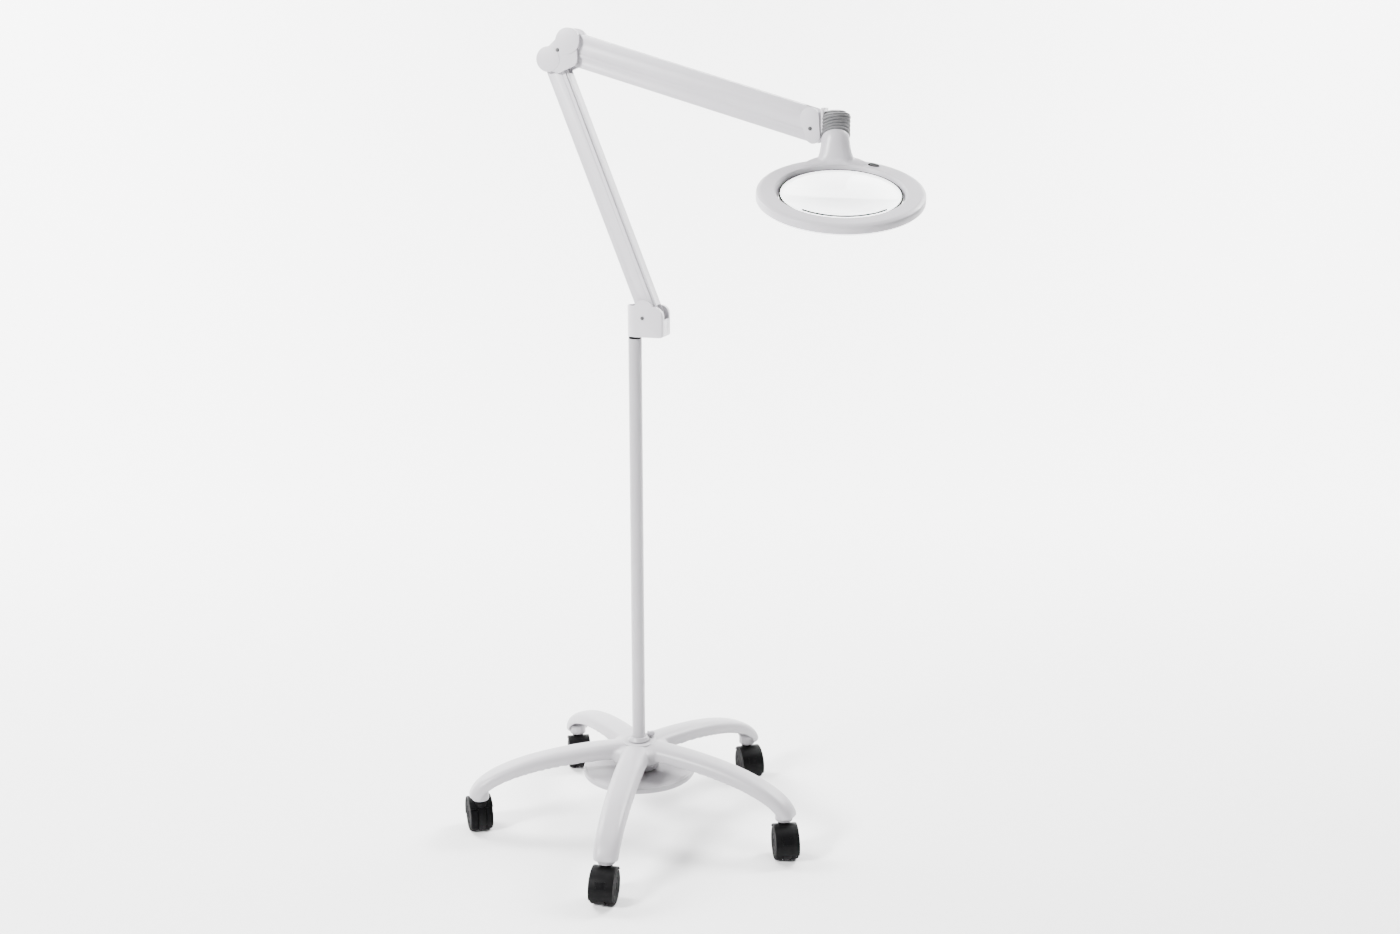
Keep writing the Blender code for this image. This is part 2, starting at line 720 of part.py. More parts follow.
def channel(name, length, back, front, half, front_is_down, pin, parent, angle, material):
    """A sheet channel along local +X, closed at its back and open at its front, with a pin hole at each end.

    The back lies on the arm's upper or left side; front_is_down turns the section over, for a link.
    """
    sign = 1 if front_is_down else -1
    end = min(back, front + 0.004) if front_is_down else back
    edge_back, edge_front = sign * back, -sign * front
    top, low = max(edge_back, edge_front), min(edge_back, edge_front)
    taper = 0.012
    outer = [
        Vector((length, top)),
        *arc((length, top - end), end, pi / 2, 0, 5)[1:],
        Vector((length + end, max(low, -end * 0.6))),
        Vector((length + end - taper / 2, low)),
        Vector((-end + taper / 2, low)),
        Vector((-end, max(low, -end * 0.6))),
        *arc((0, top - end), end, pi, pi / 2, 5)[:-1],
        Vector((0, top)),
    ]
    if not front_is_down:
        outer = [Vector((point.x, low + top - point.y)) for point in outer]
    frame = empty(f"{name}_line", parent=parent, turn=(0, -angle, 0))
    beam = prism(name, outer, -half, half)
    place(beam, material, frame)
    inner_half = half - SHEET
    reach = 0.05
    if front_is_down:
        hollow_low, hollow_high = low - 0.01, top - SHEET
        slot_low, slot_high = top - SHEET - 0.001, top + 0.01
    else:
        hollow_low, hollow_high = low + SHEET, top + 0.01
        slot_low, slot_high = low - 0.01, low + SHEET + 0.001
    far = length + reach
    hollow = box(f"{name}_hollow", (-reach, -inner_half, hollow_low), (far, inner_half, hollow_high))
    slot_start = box(
        f"{name}_slot_start",
        (-reach, -inner_half, slot_low),
        (WEB_SETBACK, inner_half, slot_high),
    )
    slot_end = box(
        f"{name}_slot_end",
        (length - WEB_SETBACK, -inner_half, slot_low),
        (far, inner_half, slot_high),
    )
    cut(beam, hollow, slot_start, slot_end)
    for where, tag in ((0, "start"), (length, "end")):
        cut(beam, rod(f"{name}_hole_{tag}", (where, -half - 0.01, 0), (where, half + 0.01, 0), pin + RUNNING))
    return beam


def grooves(beam, name, length, level, half):
    """A fine line rolled into each side of a beam, near its open edge."""
    for side in (-1, 1):
        low, high = sorted((side * (half - GROOVE_DEPTH), side * (half + 0.001)))
        cut(
            beam,
            box(
                f"{name}_groove_{side}",
                (WEB_SETBACK, low, level - GROOVE_WIDTH / 2),
                (length - WEB_SETBACK, high, level + GROOVE_WIDTH / 2),
            ),
        )


def pin(name, point, radius, half_length, parent):
    made = rod(name, flat(point, -half_length), flat(point, half_length), radius)
    return place(made, STEEL, parent)


def screw_head(name, point, face, side, parent):
    """A slotted round head that stands on a cover, on the side given by the sign."""
    start = face + GAP
    made = rod(
        name,
        flat(point, side * start),
        flat(point, side * (start + SCREW_HEAD_HEIGHT)),
        SCREW_HEAD_RADIUS,
        20,
        SCREW_HEAD_RADIUS * 0.8,
    )
    place(made, STEEL, parent)
    outer = side * (start + SCREW_HEAD_HEIGHT)
    low, high = sorted((outer - side * 0.0006, outer + side * 0.001))
    slot = box(
        f"{name}_slot",
        (point.x - 0.004, low, point.y - 0.0004),
        (point.x + 0.004, high, point.y + 0.0004),
    )
    return cut(made, slot)


def spring(name, length, level, frame, start):
    """A close-wound spring, drawn as its turned envelope with a ring for every few coils."""
    coils = 10
    radius, ridge = 0.0046, 0.0006
    pitch = (length - 2 * start) / coils
    profile = [(0, length - start)]
    for coil in range(coils):
        high = length - start - coil * pitch
        profile += [(radius - ridge, high), (radius, high - pitch / 2)]
    profile += [(radius - ridge, start), (0, start)]
    made = turned(name, profile, 8)
    place(made, STEEL, frame)
    made.rotation_euler = (0, pi / 2, 0)
    made.location = (0, 0, level)
    return made


def bracket_inside(inset):
    """The plan of the room between the bracket's covers, drawn in by inset."""
    radius, half = BRACKET_OUTER - BRACKET_WALL - inset, COVER_INNER - inset
    sweep = math.asin(half / radius)
    right = BRACKET_RIGHT - BRACKET_WALL - inset
    left = arc((BRACKET_LEFT + BRACKET_OUTER, 0), radius, pi - sweep, pi + sweep, 8)
    return [*left, Vector((right, -half)), Vector((right, half))]


def bracket(plane):
    """The bracket that turns on the column and carries the lower arm."""
    link_pivot = ARM_PIVOT + LOWER_LINK_OFFSET
    floor_low, floor_high = BRACKET_BOTTOM + 0.001, BRACKET_BOTTOM + 0.006
    body = slab("column_bracket", bracket_inside(GAP), floor_low, floor_high)
    place(body, WHITE_PLASTIC, plane)
    tongue = prism(
        "bracket_tongue",
        hull(
            [
                (Vector((0.0, floor_high - 0.002)), 0.004),
                (Vector((link_pivot.x, floor_high - 0.002)), 0.005),
                (link_pivot, 0.0055),
                (ARM_PIVOT, 0.0065),
            ]
        ),
        -TONGUE_HALF,
        TONGUE_HALF,
    )
    boss = rod("bracket_boss", (0, 0, floor_low), (0, 0, COLUMN_TOP + SPIGOT_UP + 0.002), BRACKET_BOSS_RADIUS)
    join(body, tongue, boss)
    spigot_hole = rod(
        "spigot_hole",
        (0, 0, floor_low - 0.01),
        (0, 0, COLUMN_TOP + GAP + SPIGOT_UP + GAP),
        SPIGOT_RADIUS + RUNNING,
    )
    cut(body, spigot_hole)
    for point, radius, tag in ((ARM_PIVOT, MAIN_PIN_RADIUS, "main"), (link_pivot, LINK_PIN_RADIUS, "link")):
        cut(body, rod(f"bracket_{tag}_hole", flat(point, -0.03), flat(point, 0.03), radius + RUNNING))

    corner = BRACKET_CORNER
    outline = [
        Vector((BRACKET_LEFT - 0.01, BRACKET_BOTTOM)),
        *arc((BRACKET_RIGHT - 0.004, BRACKET_BOTTOM + 0.004), 0.004, -pi / 2, 0, 4),
        *arc((BRACKET_RIGHT - corner, BRACKET_TOP - corner), corner, 0, pi / 2, 6),
        Vector((BRACKET_LEFT - 0.01, BRACKET_TOP)),
    ]
    cap_at = flat(ARM_PIVOT)
    left_centre = Vector((BRACKET_LEFT + BRACKET_OUTER, 0))
    right_corner = 0.003
    plan = [
        *arc(left_centre, BRACKET_OUTER, pi / 2, 3 * pi / 2, 12),
        *arc((BRACKET_RIGHT - right_corner, -BRACKET_OUTER + right_corner), right_corner, -pi / 2, 0, 3),
        *arc((BRACKET_RIGHT - right_corner, BRACKET_OUTER - right_corner), right_corner, 0, pi / 2, 3),
    ]
    for side, tag in ((-1, "front"), (1, "rear")):
        near, far = sorted((side * GAP / 2, side * (BRACKET_OUTER + 0.002)))
        cover = prism(f"bracket_cover_{tag}", outline, near, far)
        place(cover, WHITE_PLASTIC, plane)
        rounding = slab(f"bracket_plan_{tag}", plan, BRACKET_BOTTOM - 0.01, BRACKET_TOP + 0.01)
        combine(cover, hide(rounding, plane), "INTERSECT")
        low, high = sorted((side * COVER_INNER, side * BRACKET_OUTER))
        cap_outline = arc((cap_at[0], cap_at[2]), BRACKET_CAP_RADIUS, 0, 2 * pi, 28)[:-1]
        join(cover, prism(f"bracket_cap_{tag}", cap_outline, low, high))
        pocket_low, pocket_high = BRACKET_BOTTOM - 0.001, BRACKET_TOP + 0.03
        pocket = slab(f"bracket_pocket_{tag}", bracket_inside(0.0), pocket_low, pocket_high)
        notch = box(
            f"bracket_notch_{tag}",
            (BRACKET_RIGHT - 0.01, -LINK_HALF - 0.0012, link_pivot.y - 0.004),
            (BRACKET_RIGHT + 0.01, LINK_HALF + 0.0012, BRACKET_TOP + 0.03),
        )
        boss_room = rod(
            f"bracket_cover_post_{tag}",
            (0, 0, BRACKET_BOTTOM - 0.01),
            (0, 0, BRACKET_TOP + 0.03),
            BRACKET_BOSS_RADIUS + GAP,
        )
        cut(cover, pocket, notch, boss_room)
    pin("bracket_main_pin", ARM_PIVOT, MAIN_PIN_RADIUS, COVER_INNER - GAP, plane)
    pin("bracket_link_pin", link_pivot, LINK_PIN_RADIUS, LINK_HALF, plane)
    screw_head("bracket_screw", ARM_PIVOT + Vector((-0.0013, -0.0112)), BRACKET_OUTER, -1, plane)


def lower_arm(plane):
    pivot = empty("lower_arm_tilt", flat(ARM_PIVOT), plane)
    beam = channel(
        "lower_beam",
        LOWER_ARM_LENGTH,
        LOWER_BEAM_BACK,
        LOWER_BEAM_FRONT,
        BEAM_HALF_THICKNESS,
        True,
        MAIN_PIN_RADIUS,
        pivot,
        LOWER_ARM_ANGLE,
        WHITE_PLASTIC,
    )
    line = GROOVE_INSET - LOWER_BEAM_FRONT
    grooves(beam, "lower_beam", LOWER_ARM_LENGTH, line, BEAM_HALF_THICKNESS)
    spring("lower_spring", LOWER_ARM_LENGTH, 0.0024, beam.parent, 0.030)
    link_pivot = empty("lower_link_tilt", flat(ARM_PIVOT + LOWER_LINK_OFFSET), plane)
    channel(
        "lower_link",
        LOWER_ARM_LENGTH,
        LINK_BACK,
        LOWER_LINK_FRONT,
        LINK_HALF,
        False,
        LINK_PIN_RADIUS,
        link_pivot,
        LOWER_ARM_ANGLE,
        WHITE_PLASTIC,
    )


def joint_covers(name, outline, lobes, plane, screws):
    """A front and a rear cover of one outline, with a raised round lobe on each."""
    for side, tag in ((-1, "front"), (1, "rear")):
        outer = COVER_OUTER - (WAIST_DROP if lobes else 0)
        low, high = sorted((side * (COVER_INNER + WAIST_DROP), side * outer))
        cover = prism(f"{name}_cover_{tag}", outline, low, high)
        place(cover, WHITE_PLASTIC, plane)
        for index, (centre, radius, rise) in enumerate(lobes):
            low, high = sorted((side * COVER_INNER, side * (COVER_OUTER + rise)))
            lobe_outline = arc(centre, radius, 0, 2 * pi, 28)[:-1]
            join(cover, prism(f"{name}_lobe_{tag}_{index}", lobe_outline, low, high))
        if side < 0:
            for point in screws:
                seat = flat(point, -COVER_OUTER + WAIST_DROP)
                cut(cover, rod(f"{name}_screw_seat", seat, flat(point, -0.03), SCREW_HEAD_RADIUS + GAP))


def elbow(plane):
    upper_link = UPPER_START + UPPER_LINK_OFFSET
    lower_link = LOWER_TOP + LOWER_LINK_OFFSET
    pivot = empty("elbow_level", flat(LOWER_TOP), plane)
    frame = empty("elbow_frame", (-LOWER_TOP.x, 0, -LOWER_TOP.y), pivot)
    tongue_circles = [(LOWER_TOP, 0.0075), (lower_link, 0.0052), (upper_link, 0.0055), (UPPER_START, 0.0080)]
    block = prism("elbow_block", hull(tongue_circles), -TONGUE_HALF, TONGUE_HALF)
    place(block, STEEL, frame)
    for point, radius, tag in (
        (LOWER_TOP, MAIN_PIN_RADIUS, "lower"),
        (lower_link, LINK_PIN_RADIUS, "lower_link"),
        (UPPER_START, MAIN_PIN_RADIUS, "upper"),
        (upper_link, LINK_PIN_RADIUS, "upper_link"),
    ):
        cut(block, rod(f"elbow_{tag}_hole", flat(point, -0.03), flat(point, 0.03), radius + RUNNING))
        half = COVER_INNER - GAP if radius == MAIN_PIN_RADIUS else LINK_HALF
        pin(f"elbow_{tag}_pin", point, radius, half, frame)
    outline = hull(
        [
            (LOWER_TOP, ELBOW_WAIST),
            (lower_link, ELBOW_LINK_LOBE),
            (upper_link, ELBOW_LINK_LOBE),
            (UPPER_START, ELBOW_WAIST),
        ]
    )
    lobes = ((UPPER_START, ELBOW_UPPER_LOBE, LOBE_RISE), (LOWER_TOP, ELBOW_LOWER_LOBE, 0.0))
    middle = (UPPER_START + LOWER_TOP) / 2
    joint_covers("elbow", outline, lobes, frame, (middle,))
    screw_head("elbow_screw", middle, COVER_OUTER - WAIST_DROP, -1, frame)


def upper_arm(plane):
    pivot = empty("upper_arm_tilt", flat(UPPER_START), plane)
    beam = channel(
        "upper_beam",
        UPPER_ARM_LENGTH,
        UPPER_BEAM_BACK,
        UPPER_BEAM_FRONT,
        BEAM_HALF_THICKNESS,
        True,
        MAIN_PIN_RADIUS,
        pivot,
        UPPER_ARM_ANGLE,
        WHITE_PLASTIC,
    )
    line = GROOVE_INSET - UPPER_BEAM_FRONT
    grooves(beam, "upper_beam", UPPER_ARM_LENGTH, line, BEAM_HALF_THICKNESS)
    spring("upper_spring", UPPER_ARM_LENGTH, 0.0036, beam.parent, 0.030)
    link_pivot = empty("upper_link_tilt", flat(UPPER_START + UPPER_LINK_OFFSET), plane)
    channel(
        "upper_link",
        UPPER_ARM_LENGTH,
        LINK_BACK,
        UPPER_LINK_FRONT,
        LINK_HALF,
        False,
        LINK_PIN_RADIUS,
        link_pivot,
        UPPER_ARM_ANGLE,
        WHITE_PLASTIC,
    )


def head_block(plane):
    link_end = UPPER_END + UPPER_LINK_OFFSET
    pivot = empty("head_level", flat(UPPER_END), plane)
    frame = empty("head_frame", (-UPPER_END.x, 0, -UPPER_END.y), pivot)
    plate_far = PLATE_ALONG + PLATE_THICKNESS
    block = prism(
        "head_block",
        hull(
            [
                (link_end, 0.0052),
                (Vector((PLATE_ALONG - 0.004, PLATE_BOTTOM + 0.006)), 0.0050),
                (Vector((PLATE_ALONG - 0.006, UPPER_END.y)), 0.0075),
                (UPPER_END, 0.0075),
            ]
        ),
        -TONGUE_HALF,
        TONGUE_HALF,
    )
    place(block, WHITE_PLASTIC, frame)
    plate = box(
        "head_plate",
        (PLATE_ALONG, -PLATE_HALF_WIDTH, PLATE_BOTTOM),
        (plate_far, PLATE_HALF_WIDTH, PLATE_TOP),
    )
    arm = box("barrel_arm", (plate_far - 0.001, -0.0055, BARREL_BOTTOM), (SWIVEL_ALONG, 0.0055, BARREL_TOP))
    barrel_low, barrel_high = (SWIVEL_ALONG, 0, BARREL_BOTTOM), (SWIVEL_ALONG, 0, BARREL_TOP)
    barrel = rod("swivel_barrel", barrel_low, barrel_high, BARREL_RADIUS)
    join(block, plate, arm, barrel)
    for point, radius, tag in ((UPPER_END, MAIN_PIN_RADIUS, "main"), (link_end, LINK_PIN_RADIUS, "link")):
        cut(block, rod(f"head_{tag}_hole", flat(point, -0.03), flat(point, 0.03), radius + RUNNING))
        half = COVER_INNER - GAP if radius == MAIN_PIN_RADIUS else LINK_HALF
        pin(f"head_{tag}_pin", point, radius, half, frame)
    cut(
        block,
        rod(
            "swivel_hole",
            (SWIVEL_ALONG, 0, BARREL_BOTTOM - 0.01),
            (SWIVEL_ALONG, 0, BARREL_TOP + 0.01),
            SWIVEL_PIN_RADIUS + RUNNING,
        ),
    )
    outline = hull([(link_end, HEAD_LOWER_LOBE), (UPPER_END, HEAD_UPPER_LOBE)])
    joint_covers("head", outline, (), frame, ())
    screw_head("head_screw", UPPER_END + Vector((0.0007, -0.0141)), COVER_OUTER, -1, frame)


# --- Head ------------------------------------------------------------------------------------


def bellows_line(share):
    """A point of the bellows' middle line and its lean, from 0 at the top to 1 in the neck's mouth."""
    bend_length = BELLOWS_BEND * NECK_LEAN
    run = share * (BELLOWS_STRAIGHT + bend_length)
    if run <= BELLOWS_STRAIGHT:
        return Vector((0, 0, BELLOWS_TOP - run)), 0.0
    lean = (run - BELLOWS_STRAIGHT) / BELLOWS_BEND
    forward = BELLOWS_BEND * (1 - cos(lean))
    return Vector((0, -forward, BELLOWS_TOP - BELLOWS_STRAIGHT - BELLOWS_BEND * sin(lean))), lean


def swept(name, points, radii, sides):
    curve = spline_object(name, points, False, "3D")
    curve.data.bevel_depth = 1.0
    curve.data.bevel_resolution = sides // 2 - 2
    curve.data.use_fill_caps = True
    for point, radius in zip(curve.data.splines[0].points, radii):
        point.radius = radius
    return from_curve(curve)


def section(shape, centre, lean, across, along, sides):
    """A ring of vertices round an ellipse; lean tips its front edge down round X."""
    made = bmesh.ops.create_circle(shape, segments=sides, radius=1.0)["verts"]
    stretch = Matrix.Diagonal((across, along, 1, 1))
    matrix = Matrix.Translation(centre) @ Matrix.Rotation(lean, 4, "X") @ stretch
    bmesh.ops.transform(shape, matrix=matrix, verts=made)
    return made


def ring_edges(ring):
    return list({edge for vert in ring for edge in vert.link_edges if edge.other_vert(vert) in ring})


def loft(name, sections, sides=20):
    """A closed solid through a row of ellipses, each (centre, lean, across, along)."""
    shape = bmesh.new()
    rings = [section(shape, *data, sides=sides) for data in sections]
    for first, second in zip(rings, rings[1:]):
        edges = [edge for ring in (first, second) for edge in ring_edges(ring)]
        bmesh.ops.bridge_loops(shape, edges=list(set(edges)))
    for ring in (rings[0], rings[-1]):
        bmesh.ops.contextual_create(shape, geom=ring_edges(ring))
    return mesh_object(name, shape)


def ring_place(point):
    """A point of the ring's own frame, as a place in the head's frame."""
    turned_point = Matrix.Rotation(RING_TILT, 3, "X") @ Vector(point)
    return turned_point + Vector((0, -RING_FORWARD, RING_UP))


def head(plane):
    where = Matrix.Rotation(ARM_AZIMUTH, 3, "Z") @ Vector((SWIVEL_ALONG, 0, 0))
    swivel = empty("head_swivel", (where.x, where.y, 0))
    tilt = empty("head_tilt", (0, 0, TILT_UP), swivel)
    frame = empty("head_tilt_frame", (0, 0, -TILT_UP), tilt)
    ring = empty("ring_frame", (0, -RING_FORWARD, RING_UP), frame, turn=(RING_TILT, 0, 0))

    # Swivel pin with the fork that holds the tilt axle
    fork_half, ear = 0.0100, 0.0030
    knuckle_half = fork_half - ear - GAP
    yoke = rod("swivel_yoke", (0, 0, BARREL_BOTTOM - 0.003), (0, 0, BARREL_TOP + 0.0022), SWIVEL_PIN_RADIUS)
    place(yoke, STEEL, swivel)
    bridge = box(
        "yoke_bridge",
        (-fork_half, -0.0045, BARREL_BOTTOM - 0.0045),
        (fork_half, 0.0045, BARREL_BOTTOM - GAP),
    )
    join(yoke, bridge)
    for side in (-1, 1):
        low, high = sorted((side * (fork_half - ear), side * fork_half))
        ear_solid = prism(
            f"yoke_ear_{side}",
            hull([(Vector((0, TILT_UP)), 0.0052), (Vector((0, BARREL_BOTTOM - 0.0055)), 0.0045)]),
            low,
            high,
        )
        ear_solid.data.transform(Matrix.Rotation(-pi / 2, 4, "Z"))
        join(yoke, ear_solid)
    cut(yoke, rod("yoke_hole", (-0.02, 0, TILT_UP), (0.02, 0, TILT_UP), TILT_AXLE_RADIUS + RUNNING))
    axle_half = fork_half + 0.001
    axle = rod("tilt_axle", (-axle_half, 0, TILT_UP), (axle_half, 0, TILT_UP), TILT_AXLE_RADIUS)
    place(axle, STEEL, swivel)

    # Bellows
    steps = 2 * BELLOWS_RIBS
    path = [bellows_line(step / steps)[0] for step in range(steps + 1)]
    radii = [BELLOWS_RADIUS - (BELLOWS_DEPTH if step % 2 == 0 else 0) for step in range(steps + 1)]
    radii[0] = BELLOWS_RADIUS - 3 * BELLOWS_DEPTH
    end_point, end_lean = bellows_line(1.0)
    onward = Vector((0, -sin(end_lean), -cos(end_lean)))
    plug = NECK_MOUTH - NECK_WALL - 0.0018
    bellows = swept(
        "bellows", path + [end_point + onward * 0.0002, end_point + onward * 0.003], radii + [plug, plug], 16
    )
    place(bellows, GREY_RUBBER, swivel, smooth=None)
    above = Vector((0, 0, BELLOWS_TOP + 0.01))
    beyond = end_point + onward * 0.012
    inner_path = [above] + path + [beyond]
    inner = [0.0088] * 2 + [BELLOWS_CORE] * (len(inner_path) - 2)
    cut(bellows, swept("bellows_core", inner_path, inner, 12))
    window_half = PLATE_HALF_WIDTH + GAP
    window = box(
        "bellows_window",
        (-0.06, -window_half, PLATE_BOTTOM - 0.02),
        (PLATE_ALONG + PLATE_THICKNESS + GAP - SWIVEL_ALONG, window_half, BELLOWS_TOP + 0.01),
    )
    window.data.transform(Matrix.Rotation(ARM_AZIMUTH, 4, "Z"))
    cut(bellows, window)
    clear = box(
        "bellows_clear",
        (-0.06, -0.06, PLATE_BOTTOM - 0.02),
        (PLATE_ALONG - SWIVEL_ALONG, 0.06, BELLOWS_TOP + 0.01),
    )
    clear.data.transform(Matrix.Rotation(ARM_AZIMUTH, 4, "Z"))
    cut(bellows, clear)
    arm_room = box(
        "bellows_arm_room",
        (-0.03, -0.0060, BARREL_BOTTOM - 0.001),
        (0, 0.0060, BARREL_TOP + 0.001),
    )
    arm_room.data.transform(Matrix.Rotation(ARM_AZIMUTH, 4, "Z"))
    cut(bellows, arm_room)

    # Ring housing with its neck
    slope = OPENING_SLOPE / (RING_DEPTH - 0.001)
    opening = OPENING_RADIUS
    housing = turned(
        "head_housing",
        [
            (opening, 0),
            (RING_RADIUS - 0.0035, 0),
            (RING_RADIUS - 0.0010, -0.0010),
            (RING_RADIUS, -0.0035),
            (RING_RADIUS, -RING_DEPTH + 0.0020),
            (RING_RADIUS - 0.0015, -RING_DEPTH),
            (RING_RADIUS - 0.0037, -RING_DEPTH),
            (RING_RADIUS - RING_WALL, -RING_DEPTH + 0.0020),
            (RING_RADIUS - RING_WALL, -0.0038),
            (RING_RADIUS - 0.0040, -RING_WALL),
            (opening + 0.0022, -RING_WALL),
            (opening - OPENING_SLOPE + 0.0022, -RING_DEPTH),
            (opening - OPENING_SLOPE, -RING_DEPTH),
        ],
        RING_ROUND,
        closed=True,
    )
    place(housing, WHITE_PLASTIC, ring)
    front_arc = radians(44)
    lug_end = radians(72)
    down = -pi / 2
    ledge = slab(
        "front_ledge",
        arc((0, 0), opening + 0.0015, down - front_arc, down + front_arc, 14)
        + arc((0, 0), FRONT_OPENING_RADIUS, down + front_arc, down - front_arc, 14),
        -RING_WALL + 0.0002,
        -0.0001,
    )
    join(housing, ledge)
    for side in (-1, 1):
        corners = [
            direction(down + side * (front_arc - radians(1))) * (opening + 0.0015),
            *[
                direction(down + side * angle) * (opening + 0.0015)
                for angle in (radians(53), radians(62), lug_end)
            ],
            direction(down + side * lug_end) * (LENS_RADIUS - 0.0005),
            direction(down + side * (front_arc - radians(1))) * (FRONT_OPENING_RADIUS + 0.001),
        ]
        join(housing, slab(f"front_lug_{side}", corners, -RING_WALL + 0.0004, -0.0003))
    mouth, lean = bellows_line(1.0)
    mouth_way = Vector((0, -sin(lean), -cos(lean)))
    rear = ring_place((0, RING_RADIUS - NECK_BASE_DEPTH - 0.001, -0.0012))
    middle = (mouth + rear) / 2 + Vector((0, -0.0015, 0))
    neck_sections = [
        (mouth + mouth_way * 2 * GAP, -lean, NECK_MOUTH, NECK_MOUTH),
        (mouth + mouth_way * 0.006, -lean * 0.8, NECK_MOUTH * 1.0, NECK_MOUTH * 0.97),
        (middle, 0.0, NECK_MOUTH * 1.06, NECK_MOUTH * 0.80),
        (rear + Vector((0, 0, 0.006)), RING_TILT * 0.6, NECK_BASE_WIDTH * 0.92, NECK_BASE_DEPTH * 1.02),
        (rear, RING_TILT, NECK_BASE_WIDTH, NECK_BASE_DEPTH),
    ]
    neck = loft("neck_outer", neck_sections)
    into_ring = Matrix.Rotation(-RING_TILT, 4, "X") @ Matrix.Translation((0, RING_FORWARD, -RING_UP))
    neck.data.transform(into_ring)
    join(housing, neck)
    inner_sections = [
        (mouth - mouth_way * 0.004, -lean, NECK_MOUTH - NECK_WALL, NECK_MOUTH - NECK_WALL),
        (mouth + mouth_way * 0.006, -lean * 0.8, NECK_MOUTH - NECK_WALL, (NECK_MOUTH - NECK_WALL) * 0.96),
        (middle, 0.0, NECK_MOUTH * 1.06 - 0.003, NECK_MOUTH * 0.80 - 0.003),
        (
            rear + Vector((0, 0, 0.004)),
            RING_TILT * 0.6,
            NECK_BASE_WIDTH * 0.92 - 0.004,
            NECK_BASE_DEPTH - 0.004,
        ),
        (rear - Vector((0, 0, 0.004)), RING_TILT, NECK_BASE_WIDTH - 0.006, NECK_BASE_DEPTH - 0.006),
    ]
    hollow = loft("neck_hollow", inner_sections)
    hollow.data.transform(into_ring)
    cut(housing, hollow)

    # Knuckle: the stem in the neck, with its eye on the tilt axle
    knuckle = rod("tilt_knuckle", (-knuckle_half, 0, TILT_UP), (knuckle_half, 0, TILT_UP), 0.0062)
    place(knuckle, STEEL, frame)
    stem_end = middle + Vector((0, 0, 0.001))
    join(knuckle, rod("knuckle_stem", (0, 0, TILT_UP - 0.003), stem_end, 0.0045))
    foot = rod("knuckle_foot", stem_end, stem_end + Vector((0, 0, -0.003)), NECK_MOUTH * 0.80 - 0.0050)
    join(knuckle, foot)
    cut(knuckle, rod("knuckle_hole", (-0.02, 0, TILT_UP), (0.02, 0, TILT_UP), TILT_AXLE_RADIUS + RUNNING))

    # Lens, its seal and its retaining ring
    sag_steps = 3
    curve_radius = (LENS_RADIUS**2 + LENS_SAG**2) / (2 * LENS_SAG)

    def bulge(radius):
        return math.sqrt(curve_radius**2 - radius**2) - (curve_radius - LENS_SAG)

    radii = [LENS_RADIUS * step / sag_steps for step in range(sag_steps + 1)]
    upper = [(radius, LENS_TOP + bulge(radius)) for radius in radii]
    lower = [(radius, LENS_TOP - LENS_EDGE - bulge(radius)) for radius in reversed(radii)]
    place(turned("lens", upper + lower, 44), GLASS, ring)
    seal_inner = LENS_RADIUS + GAP
    seal_low = LENS_TOP - LENS_EDGE
    seal = turned(
        "lens_seal",
        [
            (seal_inner, LENS_TOP + 0.0002),
            (seal_inner + SEAL_WIDTH, LENS_TOP + 0.0002),
            (seal_inner + SEAL_WIDTH, LENS_TOP - 0.0012),
            (seal_inner + SEAL_WIDTH - 0.0008, seal_low),
            (seal_inner, seal_low),
        ],
        44,
        closed=True,
    )
    place(seal, BLACK_PLASTIC, ring)
    keeper_top = seal_low - GAP
    keeper = turned(
        "lens_keeper",
        [
            (LENS_RADIUS - 0.004, keeper_top - 0.0004),
            (LENS_RADIUS + 0.0012, keeper_top),
            (LENS_RADIUS + 0.0012, -RING_DEPTH),
            (LENS_RADIUS - 0.004, -RING_DEPTH),
        ],
        44,
        closed=True,
    )
    place(keeper, WHITE_PLASTIC, ring)

    # Light: board above, diffuser below
    board_top = -RING_WALL - 0.0022
    board = turned(
        "led_board",
        [
            (OPENING_RADIUS + 0.0015, board_top),
            (RING_RADIUS - RING_WALL - 0.0010, board_top),
            (RING_RADIUS - RING_WALL - 0.0010, board_top - BOARD_THICKNESS),
            (OPENING_RADIUS + 0.0015, board_top - BOARD_THICKNESS),
        ],
        36,
        closed=True,
    )
    place(board, CIRCUIT, ring)
    diffuser_top = -RING_DEPTH - GAP
    diffuser = turned(
        "diffuser",
        [
            (OPENING_RADIUS - OPENING_SLOPE + 0.0002, diffuser_top),
            (RING_RADIUS - 0.0018, diffuser_top),
            (RING_RADIUS - 0.0040, diffuser_top - DIFFUSER_THICKNESS),
            (OPENING_RADIUS - OPENING_SLOPE + 0.0030, diffuser_top - DIFFUSER_THICKNESS),
        ],
        RING_ROUND,
        closed=True,
    )
    place(diffuser, DIFFUSER, ring)

    # Switch
    switch_at = direction(SWITCH_ANGLE) * SWITCH_CIRCLE
    outline = [
        Vector((SWITCH_LENGTH / 2 * cos(angle), SWITCH_WIDTH / 2 * sin(angle)))
        for angle in [2 * pi * step / 24 for step in range(24)]
    ]
    turn = Matrix.Translation((switch_at.x, switch_at.y, 0)) @ Matrix.Rotation(SWITCH_ANGLE - pi / 2, 4, "Z")
    button = slab("switch_button", outline, -RING_WALL + 0.0002, SWITCH_RISE)
    button.data.transform(turn)
    place(button, BLACK_PLASTIC, ring)
    growth = 1 + 2 * GAP / SWITCH_WIDTH * 1.3
    room = slab("switch_room", [point * growth for point in outline], -RING_WALL - 0.001, 0.002)
    room.data.transform(turn)
    cut(housing, room)


